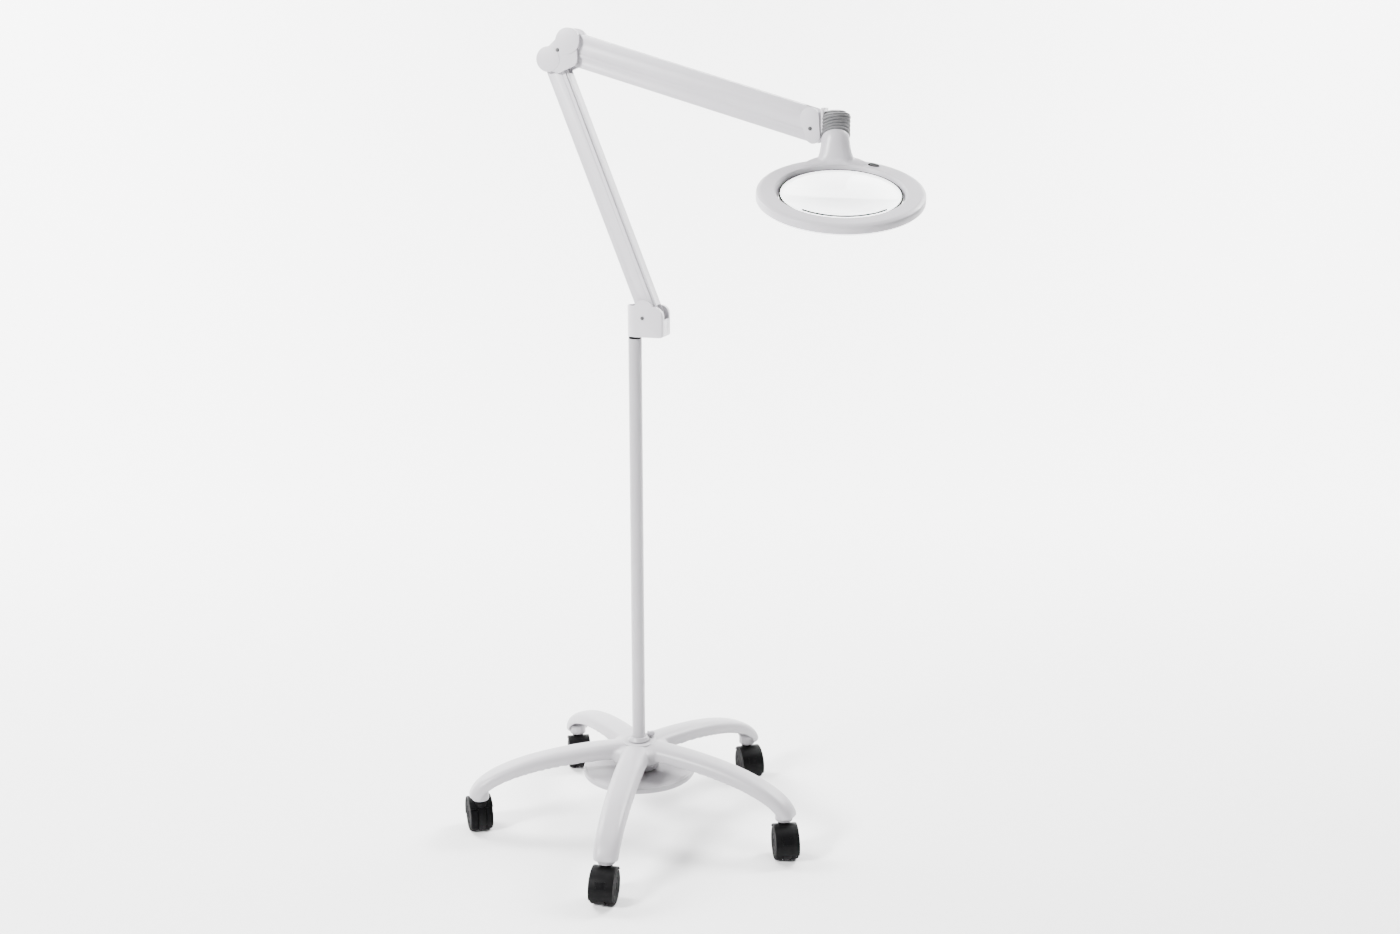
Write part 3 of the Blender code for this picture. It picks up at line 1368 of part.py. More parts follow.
star_base()
weight_parts()
column_parts()
for number in range(LEG_COUNT):
    castor(number)
arm_plane = empty("arm_plane", turn=(0, 0, ARM_AZIMUTH))
bracket(arm_plane)
lower_arm(arm_plane)
elbow(arm_plane)
upper_arm(arm_plane)
head_block(arm_plane)
head(arm_plane)
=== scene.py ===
"""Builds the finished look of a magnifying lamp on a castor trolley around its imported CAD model."""

import json
from math import acos, atan2, cos, pi, radians, sin, sqrt

import bmesh
import bpy
from mathutils import Matrix, Vector

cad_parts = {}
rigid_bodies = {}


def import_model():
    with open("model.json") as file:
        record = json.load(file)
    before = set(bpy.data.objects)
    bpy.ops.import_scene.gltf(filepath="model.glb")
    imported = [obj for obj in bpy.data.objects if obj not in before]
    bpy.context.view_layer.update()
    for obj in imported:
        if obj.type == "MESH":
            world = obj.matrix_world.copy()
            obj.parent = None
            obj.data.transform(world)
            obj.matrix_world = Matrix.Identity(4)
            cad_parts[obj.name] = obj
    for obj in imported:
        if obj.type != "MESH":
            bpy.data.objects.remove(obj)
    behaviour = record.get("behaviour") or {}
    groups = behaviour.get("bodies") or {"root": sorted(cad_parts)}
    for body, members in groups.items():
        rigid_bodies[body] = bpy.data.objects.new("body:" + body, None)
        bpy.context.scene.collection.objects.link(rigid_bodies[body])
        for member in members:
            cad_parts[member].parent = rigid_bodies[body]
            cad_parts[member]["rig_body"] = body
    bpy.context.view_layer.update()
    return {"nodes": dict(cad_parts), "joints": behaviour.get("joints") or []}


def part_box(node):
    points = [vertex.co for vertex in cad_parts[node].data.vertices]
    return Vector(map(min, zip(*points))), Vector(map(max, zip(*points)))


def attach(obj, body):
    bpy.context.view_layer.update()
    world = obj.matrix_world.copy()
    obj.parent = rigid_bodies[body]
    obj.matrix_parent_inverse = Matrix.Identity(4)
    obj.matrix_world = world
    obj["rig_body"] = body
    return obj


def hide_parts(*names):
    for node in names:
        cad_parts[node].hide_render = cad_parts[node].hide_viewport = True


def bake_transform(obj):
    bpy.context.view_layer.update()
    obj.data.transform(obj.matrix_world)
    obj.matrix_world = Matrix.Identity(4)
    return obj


bl_info = {
    "name": "Magnifying Lamp",
    "version": (1, 0, 0),
    "blender": (4, 5, 0),
    "location": "View3D > Sidebar > Lamp",
    "description": "Builds a magnifying lamp on a castor trolley around its CAD frame",
    "category": "Object",
}

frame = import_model()

JOINTS = {joint["name"]: joint for joint in frame["joints"]}


def joint_place(name):
    return Vector(JOINTS[name]["pos_m"])


def node_size(node):
    low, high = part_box(node)
    return high - low


def node_middle(node):
    low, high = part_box(node)
    return (low + high) / 2


# Places taken from the frame
ARM_AZIMUTH = atan2(-JOINTS["lower_arm_tilt"]["axis"][0], JOINTS["lower_arm_tilt"]["axis"][1]) + pi
SWIVEL = joint_place("head_swivel")
PRESS = Vector(JOINTS["switch_press"]["axis"])
RING_TILT = atan2(PRESS.y, -PRESS.z)
BOARD_DEPTH = 0.0054  # from the ring's top plane down to the middle of the light board
RING_CENTRE = node_middle("led_board") - PRESS * BOARD_DEPTH
RING_FRAME = Matrix.Translation(RING_CENTRE) @ Matrix.Rotation(RING_TILT, 4, "X")
RING_RADIUS = node_size("head_housing").x / 2
LENS_RADIUS = node_size("lens").x / 2
CASTOR_COUNT = 5
CASTOR_CIRCLE = joint_place("castor_swivel_0").xy.length
FOOT_HEIGHT = joint_place("castor_swivel_0").z
HUB_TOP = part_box("column_collar")[0].z
COLUMN_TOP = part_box("column")[1].z
COLUMN_RADIUS = node_size("column").x / 2
WHEEL_RADIUS = joint_place("castor_roll_0").z
WEIGHT_LOW, WEIGHT_TOP = (corner.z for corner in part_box("weight_disc"))
WEIGHT_RADIUS = node_size("weight_disc").x / 2
# painted glow of the lens glass, which is no lamp
LENS_PAINTED_GLOW = 1.4
DIFFUSER_GLOW = 2.2
CHIP_GLOW = 6.0


# --- Settings --------------------------------------------------------------------------------


class LampSizes(bpy.types.PropertyGroup):
    """Sizes of the finer shapes"""

    leg_width: bpy.props.FloatProperty(
        name="Leg width", description="Width of a leg at the hub", default=0.043, unit="LENGTH"
    )
    leg_depth: bpy.props.FloatProperty(
        name="Leg depth", description="Depth of a leg's side walls", default=0.021, unit="LENGTH"
    )
    leg_wall: bpy.props.FloatProperty(
        name="Leg wall", description="Thickness of the cast legs", default=0.0035, unit="LENGTH"
    )
    casting_voxel: bpy.props.FloatProperty(
        name="Casting detail",
        description="Grid that the casting is melted together on",
        default=0.0018,
        unit="LENGTH",
    )
    ring_depth: bpy.props.FloatProperty(
        name="Ring depth", description="Height of the lamp head's ring", default=0.0120, unit="LENGTH"
    )
    bellows_ribs: bpy.props.IntProperty(
        name="Bellows ribs", description="Number of folds in the rubber boot", default=6, min=2, max=12
    )
    bellows_depth: bpy.props.FloatProperty(
        name="Fold depth", description="Depth of each fold in the boot", default=0.0025, unit="LENGTH"
    )
    spring_coils: bpy.props.IntProperty(
        name="Spring coils", description="Turns in each balance spring", default=70, min=10, max=200
    )
    spring_wire: bpy.props.FloatProperty(
        name="Spring wire", description="Radius of the spring's wire", default=0.0008, unit="LENGTH"
    )
    led_count: bpy.props.IntProperty(
        name="Light chips", description="Number of light chips on the ring board", default=60, min=6, max=120
    )


class LampColours(bpy.types.PropertyGroup):
    """Colours of the finishes"""

    coat: bpy.props.FloatVectorProperty(
        name="Powder coat", description="Base and column", subtype="COLOR", default=(0.345, 0.335, 0.353)
    )
    enamel: bpy.props.FloatVectorProperty(
        name="Enamel", description="Arm and joint covers", subtype="COLOR", default=(0.49, 0.475, 0.503)
    )
    housing: bpy.props.FloatVectorProperty(
        name="Housing", description="Moulded lamp head", subtype="COLOR", default=(0.42, 0.407, 0.432)
    )
    castor: bpy.props.FloatVectorProperty(
        name="Castor", description="Black moulded castors", subtype="COLOR", default=(0.0022, 0.0022, 0.0025)
    )
    rubber: bpy.props.FloatVectorProperty(
        name="Rubber",
        description="Grey boot over the head joint",
        subtype="COLOR",
        default=(0.105, 0.105, 0.109),
    )
    steel: bpy.props.FloatVectorProperty(
        name="Steel", description="Pins, screws and springs", subtype="COLOR", default=(0.56, 0.56, 0.57)
    )


# --- Finishes --------------------------------------------------------------------------------


class Value:
    """A shader socket that takes part in arithmetic."""

    def __init__(self, finish, socket):
        self.finish = finish
        self.socket = socket

    def maths(self, operation, first, second):
        return self.finish.node("ShaderNodeMath", {"operation": operation}, {0: first, 1: second})

    def __add__(self, other):
        return self.maths("ADD", self, other)

    def __radd__(self, other):
        return self.maths("ADD", other, self)

    def __sub__(self, other):
        return self.maths("SUBTRACT", self, other)

    def __rsub__(self, other):
        return self.maths("SUBTRACT", other, self)

    def __mul__(self, other):
        return self.maths("MULTIPLY", self, other)

    def __rmul__(self, other):
        return self.maths("MULTIPLY", other, self)


class Finish:
    """One procedural material, built round a Principled shader."""

    def __init__(self, name, constants=None):
        self.material = bpy.data.materials.new(name)
        self.material.use_nodes = True
        self.tree = self.material.node_tree
        self.shader = self.tree.nodes["Principled BSDF"]
        for socket, value in (constants or {}).items():
            self.shader.inputs[socket].default_value = value
        self.place = self.node("ShaderNodeTexCoord", output="Object")

    def node(self, kind, settings=None, inputs=None, output=0):
        made = self.tree.nodes.new(kind)
        for name, value in (settings or {}).items():
            if name == "stops":
                self.set_stops(made.color_ramp, value)
            else:
                setattr(made, name, value)
        for socket, value in (inputs or {}).items():
            self.join(made.inputs[socket], value)
        return Value(self, made.outputs[output])

    def set_stops(self, ramp, stops):
        while len(ramp.elements) < len(stops):
            ramp.elements.new(1.0)
        for element, (position, level) in zip(ramp.elements, stops):
            element.position = position
            element.color = (level, level, level, 1.0)

    def join(self, socket, value):
        if isinstance(value, Value):
            self.tree.links.new(value.socket, socket)
        elif socket.type == "RGBA":
            socket.default_value = (*value[:3], 1.0)
        else:
            socket.default_value = value

    def give(self, socket, value):
        """Sets or links one of the shader's own sockets."""
        self.join(self.shader.inputs[socket], value)

    def stretched(self, scale):
        return self.node("ShaderNodeMapping", {}, {"Vector": self.place, "Scale": scale})

    def noise(self, scale, detail=2.0, stretch=None):
        place = self.stretched(stretch) if stretch else self.place
        return self.node("ShaderNodeTexNoise", {}, {"Vector": place, "Scale": scale, "Detail": detail})

    def cells(self, scale):
        return self.node("ShaderNodeTexVoronoi", {}, {"Vector": self.place, "Scale": scale})

    def ramp(self, value, *stops):
        return self.node("ShaderNodeValToRGB", {"stops": stops}, {0: value})

    def mix(self, factor, first, second):
        return self.node("ShaderNodeMix", {"data_type": "RGBA"}, {0: factor, 6: first, 7: second}, output=2)

    def bump(self, height, distance, strength=1.0):
        given = {"Height": height, "Distance": distance, "Strength": strength}
        self.give("Normal", self.node("ShaderNodeBump", {}, given))


def shade_of(colour, level):
    return tuple(channel * level for channel in colour)


def painted(name, colour, grain=1400.0, grain_height=0.000035, roughness=0.40, coat=0.15):
    """Stoved paint: orange peel, slight clouding, fine scratches and a few handling marks."""
    paint = Finish(name, {"Coat Weight": coat, "Coat Roughness": 0.25})
    clouding = paint.noise(9.0, 3.0)
    marks = paint.ramp(paint.noise(38.0, 6.0), (0.60, 0.0), (0.78, 1.0))
    tone = paint.mix(clouding, shade_of(colour, 0.955), shade_of(colour, 1.03))
    paint.give("Base Color", paint.mix(marks * 0.35, tone, shade_of(colour, 0.84)))
    scratches = paint.ramp(paint.noise(260.0, 2.0, stretch=(1.0, 1.0, 0.06)), (0.66, 0.0), (0.70, 1.0))
    paint.give("Roughness", roughness + clouding * 0.08 + marks * 0.10 - scratches * 0.06)
    peel = paint.noise(grain, 2.0)
    paint.bump(peel + scratches * -0.35, grain_height)
    return paint.material


def moulded(name, colour, roughness=0.36, grain=2600.0, grain_height=0.00002, dust=0.0, shine=0.5):
    """Moulded plastic: spark-eroded grain, flow clouding and, where asked, dust in soft patches."""
    plastic = Finish(name, {"IOR": 1.48, "Specular IOR Level": shine})
    flow = plastic.noise(22.0, 3.0, stretch=(1.0, 1.0, 0.4))
    specks = plastic.ramp(plastic.noise(420.0, 3.0), (0.62, 0.0), (0.74, 1.0))
    tone = plastic.mix(flow, shade_of(colour, 0.95), shade_of(colour, 1.04))
    dusty = plastic.ramp(plastic.noise(75.0, 5.0), (0.48, 0.0), (0.72, 1.0))
    lint = (0.30, 0.29, 0.28)
    plastic.give("Base Color", plastic.mix(dusty * dust + specks * dust * 0.6, tone, lint))
    plastic.give("Roughness", roughness + flow * 0.10 + dusty * 0.12)
    plastic.bump(plastic.noise(grain, 2.0) + specks * 0.3, grain_height)
    return plastic.material


def rubbery(name, colour):
    """Grey rubber: bloom in soft clouds and a fine matt skin."""
    rubber = Finish(name, {"Sheen Weight": 0.15, "Sheen Roughness": 0.6})
    bloom = rubber.noise(55.0, 5.0)
    tone = rubber.mix(bloom, shade_of(colour, 0.86), shade_of(colour, 1.16))
    rubber.give("Base Color", tone)
    rubber.give("Roughness", 0.56 + bloom * 0.16)
    rubber.bump(rubber.noise(1900.0, 3.0), 0.00004)
    return rubber.material


def turned_steel(name, colour, roughness=0.26):
    """Steel with fine turning marks and slight tarnish."""
    steel = Finish(name, {"Metallic": 1.0})
    tarnish = steel.noise(130.0, 4.0)
    marks = steel.noise(600.0, 2.0, stretch=(1.0, 1.0, 9.0))
    steel.give("Base Color", steel.mix(tarnish, shade_of(colour, 0.80), shade_of(colour, 1.08)))
    steel.give("Roughness", roughness + tarnish * 0.16 + marks * 0.08)
    steel.bump(marks, 0.00002)
    return steel.material


def clear_glass(name):
    """Lens glass: clear, faintly smeared, and given a painted glow that brightens towards its rim in place
    of the ring light's glow.
    """
    glass = Finish(name, {"Transmission Weight": 0.75, "IOR": 1.52, "Emission Strength": LENS_PAINTED_GLOW})
    turn = RING_FRAME.inverted().to_euler()
    local = glass.node(
        "ShaderNodeMapping",
        {},
        {"Vector": glass.place, "Location": RING_FRAME.inverted().translation, "Rotation": tuple(turn)},
    )
    level = glass.node("ShaderNodeVectorMath", {"operation": "MULTIPLY"}, {0: local, 1: (1.0, 1.0, 0.0)})
    out = glass.node("ShaderNodeVectorMath", {"operation": "LENGTH"}, {0: level}, output=1)
    # Painted glow: the lens's emission colour brightens from its middle to its rim, standing in for the ring
    # light seen through the glass.
    edge = glass.ramp(out * (1 / LENS_RADIUS), (0.35, 0.0), (0.98, 1.0))
    glass.give("Emission Color", glass.mix(edge, (0.50, 0.50, 0.51), (0.98, 0.99, 1.0)))
    glass.give("Base Color", glass.mix(glass.noise(30.0, 4.0), (0.985, 0.995, 0.99), (0.995, 1.0, 0.998)))
    smears = glass.ramp(glass.noise(26.0, 6.0, stretch=(1.0, 3.0, 1.0)), (0.58, 0.0), (0.85, 1.0))
    glass.give("Roughness", smears * 0.03)
    return glass.material


def opal(name, strength):
    """Opal diffuser, glowing through a faint haze."""
    plastic = Finish(name, {"Emission Strength": strength})
    haze = plastic.noise(70.0, 2.0)
    plastic.give("Base Color", plastic.mix(haze, (0.86, 0.87, 0.88), (0.93, 0.93, 0.93)))
    plastic.give("Emission Color", plastic.mix(haze, (0.93, 0.96, 1.0), (1.0, 1.0, 1.0)))
    plastic.give("Roughness", 0.30 + haze * 0.15)
    plastic.bump(plastic.noise(1500.0, 2.0), 0.00002)
    return plastic.material


def circuit(name):
    """White solder mask with copper tracks just showing through it."""
    board = Finish(name, {"Coat Weight": 0.3, "Coat Roughness": 0.2})
    tracks = board.ramp(board.cells(180.0), (0.30, 0.0), (0.36, 1.0))
    board.give("Base Color", board.mix(tracks, (0.62, 0.64, 0.60), (0.74, 0.76, 0.73)))
    board.give("Roughness", 0.35 + tracks * 0.15)
    board.bump(tracks, 0.00003)
    return board.material


class Finishes:
    """The lamp's materials, made once and shared."""

    made = {}

    @classmethod
    def get(cls, name):
        if name not in cls.made:
            cls.made[name] = cls.make(name)
        return cls.made[name]

    @staticmethod
    def make(name):
        colours = bpy.context.scene.lamp_colours
        coat, enamel, housing = tuple(colours.coat), tuple(colours.enamel), tuple(colours.housing)
        black, grey, bright = tuple(colours.castor), tuple(colours.rubber), tuple(colours.steel)
        castor = {"roughness": 0.42, "grain": 1500.0, "dust": 0.006, "shine": 0.08}
        tread = {"roughness": 0.58, "dust": 0.010, "shine": 0.05}
        makers = {
            "powder_coat": lambda: painted(name, coat, grain=1100.0, grain_height=0.00005),
            "column_coat": lambda: painted(name, coat, grain=1300.0, roughness=0.32, coat=0.3),
            "white_enamel": lambda: painted(name, enamel, roughness=0.36),
            "white_plastic": lambda: moulded(name, housing, roughness=0.30),
            "black_plastic": lambda: moulded(name, black, roughness=0.34, shine=0.12),
            "castor_plastic": lambda: moulded(name, black, **castor),
            "tread": lambda: moulded(name, shade_of(black, 1.2), **tread),
            "grey_rubber": lambda: rubbery(name, grey),
            "steel": lambda: turned_steel(name, bright),
            "dark_steel": lambda: turned_steel(name, shade_of(bright, 0.16), 0.4),
            "glass": lambda: clear_glass(name),
            "opal": lambda: opal(name, DIFFUSER_GLOW),
            "chip": lambda: opal(name, CHIP_GLOW),
            "circuit": lambda: circuit(name),
        }
        return makers[name]()


# --- Mesh tools ------------------------------------------------------------------------------


def rounded(points, steps=4):
    """A polyline with each corner (x, y, radius) turned into an arc."""
    line = []
    for index, (x, y, radius) in enumerate(points):
        here = Vector((x, y))
        if radius <= 0 or index in (0, len(points) - 1):
            line.append(here)
            continue
        back = (Vector(points[index - 1][:2]) - here).normalized()
        ahead = (Vector(points[index + 1][:2]) - here).normalized()
        opening = acos(max(-1.0, min(1.0, back.dot(ahead))))
        if opening > pi - 0.02:
            line.append(here)
            continue
        reach = radius / abs(sin(opening / 2)) * cos(opening / 2)
        start, end = here + back * reach, here + ahead * reach
        centre = here + (back + ahead).normalized() * (radius / sin(opening / 2))
        first, last = start - centre, end - centre
        turn = atan2(first.x * last.y - first.y * last.x, first.dot(last))
        for step in range(steps + 1):
            line.append(centre + Matrix.Rotation(turn * step / steps, 2) @ first)
    return line


def add_line(shape, points, matrix=Matrix.Identity(4)):
    """Vertices joined by edges, from (radius, height) points in the XZ plane."""
    corners = [shape.verts.new(matrix @ Vector((point[0], 0.0, point[1]))) for point in points]
    edges = [shape.edges.new(pair) for pair in zip(corners, corners[1:])]
    return corners, edges


def lathe(shape, points, steps=96, matrix=Matrix.Identity(4), closed=False):
    """Spins a profile round its own Z, then puts it in place."""
    corners, edges = add_line(shape, points)
    if closed:
        edges.append(shape.edges.new((corners[-1], corners[0])))
    before = set(shape.verts) - set(corners)
    bmesh.ops.spin(
        shape,
        geom=corners + edges,
        cent=(0, 0, 0),
        axis=(0, 0, 1),
        angle=2 * pi,
        steps=steps,
        use_merge=True,
    )
    made = [vert for vert in shape.verts if vert not in before]
    bmesh.ops.remove_doubles(shape, verts=made, dist=1e-6)
    made = [vert for vert in shape.verts if vert not in before]
    bmesh.ops.transform(shape, matrix=matrix, verts=made)
    return made


def plate(shape, outline, low, high, matrix=Matrix.Identity(4)):
    """An outline in the XY plane, given thickness and then put in place."""
    before = set(shape.verts)
    corners = [shape.verts.new((point[0], point[1], low)) for point in outline]
    raised = bmesh.ops.extrude_face_region(shape, geom=[shape.faces.new(corners)])["geom"]
    moved = [item for item in raised if isinstance(item, bmesh.types.BMVert)]
    bmesh.ops.translate(shape, verts=moved, vec=(0, 0, high - low))
    made = [vert for vert in shape.verts if vert not in before]
    bmesh.ops.transform(shape, matrix=matrix, verts=made)
    return made


def arc(radius, turns):
    """Points on a circle round the origin."""
    return [(radius * cos(turn), radius * sin(turn)) for turn in turns]


def oblong(half_width, half_height):
    """The outline of a rectangle round the origin."""
    signs = ((-1, -1), (1, -1), (1, 1), (-1, 1))
    return [(across * half_width, up * half_height) for across, up in signs]


def soften_edges(shape, width, segments=3, sharper=radians(40)):
    edges = [edge for edge in shape.edges if edge.is_manifold and edge.calc_face_angle() > sharper]
    bmesh.ops.bevel(
        shape,
        geom=edges,
        offset=width,
        offset_type="OFFSET",
        segments=segments,
        profile=0.5,
        affect="EDGES",
        clamp_overlap=True,
        material=-1,
    )


def close_up(shape):
    bmesh.ops.remove_doubles(shape, verts=shape.verts, dist=1e-6)
    bmesh.ops.recalc_face_normals(shape, faces=shape.faces)


def as_object(shape, name):
    mesh = bpy.data.meshes.new(name)
    shape.to_mesh(mesh)
    shape.free()
    made = bpy.data.objects.new(name, mesh)
    bpy.context.scene.collection.objects.link(made)
    return made


def settle(made, body, slot, finish=None, nodes=(), smooth=radians(38)):
    """Gives a piece its finish, its shading, the body that it rides on and the nodes it stands for."""
    made.data.materials.clear()
    made.data.materials.append(Finishes.get(finish or slot))
    made.data.shade_smooth()
    made.data.set_sharp_from_angle(angle=smooth)
    if body:
        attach(made, body)
    if nodes:
        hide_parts(*nodes)
    return made


def piece(shape, name, body, slot, finish=None, nodes=(), smooth=radians(38)):
    close_up(shape)
    return settle(as_object(shape, name), body, slot, finish, nodes, smooth)


def applied(made):
    """Bakes an object's modifiers into its mesh."""
    graph = bpy.context.evaluated_depsgraph_get()
    mesh = bpy.data.meshes.new_from_object(made.evaluated_get(graph))
    made.modifiers.clear()
    made.data = mesh
    return made


def finer(node, name, slot, width, finish=None, segments=3, sharper=radians(40)):
    """A merged copy of a CAD piece with its corners rounded, which stands for it."""
    source = frame["nodes"][node]
    shape = bmesh.new()
    shape.from_mesh(source.data)
    bmesh.ops.remove_doubles(shape, verts=shape.verts, dist=2e-6)
    bmesh.ops.dissolve_limit(shape, angle_limit=radians(0.6), verts=shape.verts, edges=shape.edges)
    soften_edges(shape, width, segments, sharper)
    made = as_object(shape, name)
    return settle(made, source["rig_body"], slot, finish, (node,))


def cut_away(made, shape):
    """Cuts a closed shape out of an object for good."""
    close_up(shape)
    cutter = as_object(shape, "cutter")
    cut = made.modifiers.new("cut", "BOOLEAN")
    cut.operation = "DIFFERENCE"
    cut.solver = "EXACT"
    cut.object = cutter
    applied(made)
    bpy.data.objects.remove(cutter)


def facing(axis, place):
    """A matrix that stands local Z along an axis at a place."""
    return Matrix.Translation(place) @ Vector(axis).to_track_quat("Z", "Y").to_matrix().to_4x4()


# --- Trolley ---------------------------------------------------------------------------------

LEG_END_REACH = 0.018
LEG_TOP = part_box("star_base")[1].z - 0.001
LEG_TIP_SHARE = 0.82
LEG_ARCH_POWER = 2.15
LEG_STATIONS = 40
LEG_ARCH_STEPS = 14
LEG_SQUARENESS = 0.62  # 1 is a half ellipse, and less is squarer in the shoulders
LEG_START = radians(4)  # along the leg's curve, from upright at the hub
LEG_SWEEP = radians(81)
BOSS_HEIGHT = 0.017  # of the castor socket, up inside the leg's tip


def leg_section(sizes):
    """The points of a leg's arch, outside and then inside, open at the bottom."""
    half, depth, wall = sizes.leg_width / 2, sizes.leg_depth, sizes.leg_wall

    def arch(across, drop, lift):
        points = []
        for step in range(LEG_ARCH_STEPS + 1):
            turn = pi * step / LEG_ARCH_STEPS
            side = 1 if cos(turn) >= 0 else -1
            out = across * (abs(cos(turn)) ** LEG_SQUARENESS) * side
            points.append(Vector((out, lift - drop * (1 - sin(turn) ** LEG_SQUARENESS))))
        return points

    return arch(half, depth, 0.0) + arch(half - wall, depth - wall, -wall)[::-1]


def leg_frame(share, azimuth):
    """Where a leg's section stands, from the hub at 0 to the tip at 1, and how big it is there."""
    turn = LEG_START + LEG_SWEEP * share
    power = 2 / LEG_ARCH_POWER

    def ridge(angle):
        out = (CASTOR_CIRCLE + LEG_END_REACH) * sin(angle) ** power
        up = FOOT_HEIGHT + (LEG_TOP - FOOT_HEIGHT) * cos(angle) ** power
        return Vector((out, 0.0, up))

    here, ahead = ridge(turn), ridge(turn + 0.01)
    along = (ahead - here).normalized()
    up = Vector((-along.z, 0.0, along.x))
    turned = Matrix((along, Vector((0.0, 1.0, 0.0)), up)).transposed().to_4x4()
    size = 1 + (LEG_TIP_SHARE - 1) * share
    spread = Matrix.Rotation(azimuth, 4, "Z")
    return spread @ Matrix.Translation(here) @ turned @ Matrix.Scale(size, 4)


def add_leg(shape, sizes, azimuth):
    section = leg_section(sizes)
    stand = leg_frame(0.0, azimuth)
    corners = [shape.verts.new(stand @ Vector((0.0, point.x, point.y))) for point in section]
    edges = [shape.edges.new(pair) for pair in zip(corners, corners[1:] + corners[:1])]
    shape.faces.new(corners)
    for station in range(1, LEG_STATIONS + 1):
        made = bmesh.ops.extrude_edge_only(shape, edges=edges)["geom"]
        edges = [item for item in made if isinstance(item, bmesh.types.BMEdge)]
        moved = [item for item in made if isinstance(item, bmesh.types.BMVert)]
        after = leg_frame(station / LEG_STATIONS, azimuth)
        bmesh.ops.transform(shape, matrix=after @ stand.inverted(), verts=moved)
        stand = after
    bmesh.ops.contextual_create(shape, geom=edges)


class LAMP_OT_star_base(bpy.types.Operator):
    """Cast star base: five arched legs melted into a hub"""

    bl_idname = "lamp.star_base"
    bl_label = "Star Base"

    def execute(self, context):
        sizes = context.scene.lamp_sizes
        shape = bmesh.new()
        for index in range(CASTOR_COUNT):
            foot = joint_place(f"castor_swivel_{index}")
            add_leg(shape, sizes, atan2(foot.y, foot.x))
            boss = Matrix.Translation((foot.x, foot.y, 0))
            top = FOOT_HEIGHT + BOSS_HEIGHT
            lathe(shape, [(0, top), (0.0125, top), (0.0130, FOOT_HEIGHT), (0, FOOT_HEIGHT)], 40, boss)
        hub = rounded(
            [
                (0, HUB_TOP - 0.0030, 0),
                (0.0320, HUB_TOP - 0.0032, 0.004),
                (0.0445, HUB_TOP - 0.0085, 0.006),
                (0.0460, HUB_TOP - 0.0260, 0.002),
                (0.0300, HUB_TOP - 0.0260, 0.001),
                (0.0300, WEIGHT_TOP + 0.0003, 0.0005),
                (0, WEIGHT_TOP + 0.0003, 0),
            ]
        )
        lathe(shape, hub, 72)
        close_up(shape)
        casting = as_object(shape, "star_casting")
        melt = casting.modifiers.new("melt", "REMESH")
        melt.mode = "VOXEL"
        melt.voxel_size = sizes.casting_voxel
        ease = casting.modifiers.new("ease", "SMOOTH")
        ease.factor = 0.5
        ease.iterations = 7
        applied(casting)
        settle(casting, "base", "powder_coat", nodes=("star_base",), smooth=radians(60))

        flange = bmesh.new()
        inner = COLUMN_RADIUS + 0.0002
        profile = [
            (inner, HUB_TOP - 0.0010, 0),
            (0.0195, HUB_TOP - 0.0010, 0.0006),
            (0.0205, HUB_TOP - 0.0002, 0.0003),
            (0.0262, HUB_TOP - 0.0002, 0.0008),
            (0.0268, HUB_TOP - 0.0040, 0),
            (inner, HUB_TOP - 0.0040, 0),
        ]
        lathe(flange, rounded(profile), 96, closed=True)
        piece(flange, "hub_flange", "base", "powder_coat")
        return {"FINISHED"}


class LAMP_OT_weight(bpy.types.Operator):
    """Round steel weight under the hub, with its rolled rim and bolt"""

    bl_idname = "lamp.weight"
    bl_label = "Weight"

    def execute(self, context):
        shape = bmesh.new()
        rim = 0.0048
        profile = [
            (0.0063, WEIGHT_TOP, 0),
            (WEIGHT_RADIUS - rim - 0.0008, WEIGHT_TOP, 0.0004),
            (WEIGHT_RADIUS - rim, WEIGHT_TOP - 0.0007, 0.0003),
            (WEIGHT_RADIUS - rim + 0.0004, WEIGHT_TOP - 0.0002, 0.0003),
            (WEIGHT_RADIUS, WEIGHT_TOP - 0.0002, 0.0016),
            (WEIGHT_RADIUS, WEIGHT_LOW, 0.0012),
            (0.0063, WEIGHT_LOW, 0),
        ]
        lathe(shape, rounded(profile, 5), 160, closed=True)
        piece(shape, "weight_plate", "base", "powder_coat", nodes=("weight_disc",))
        finer("weight_bolt", "weight_bolt_head", "steel", 0.0005)
        return {"FINISHED"}


KNURL_DEPTH = 0.035  # as a share of the clamp knob's radius
KNURL_COUNT = 24


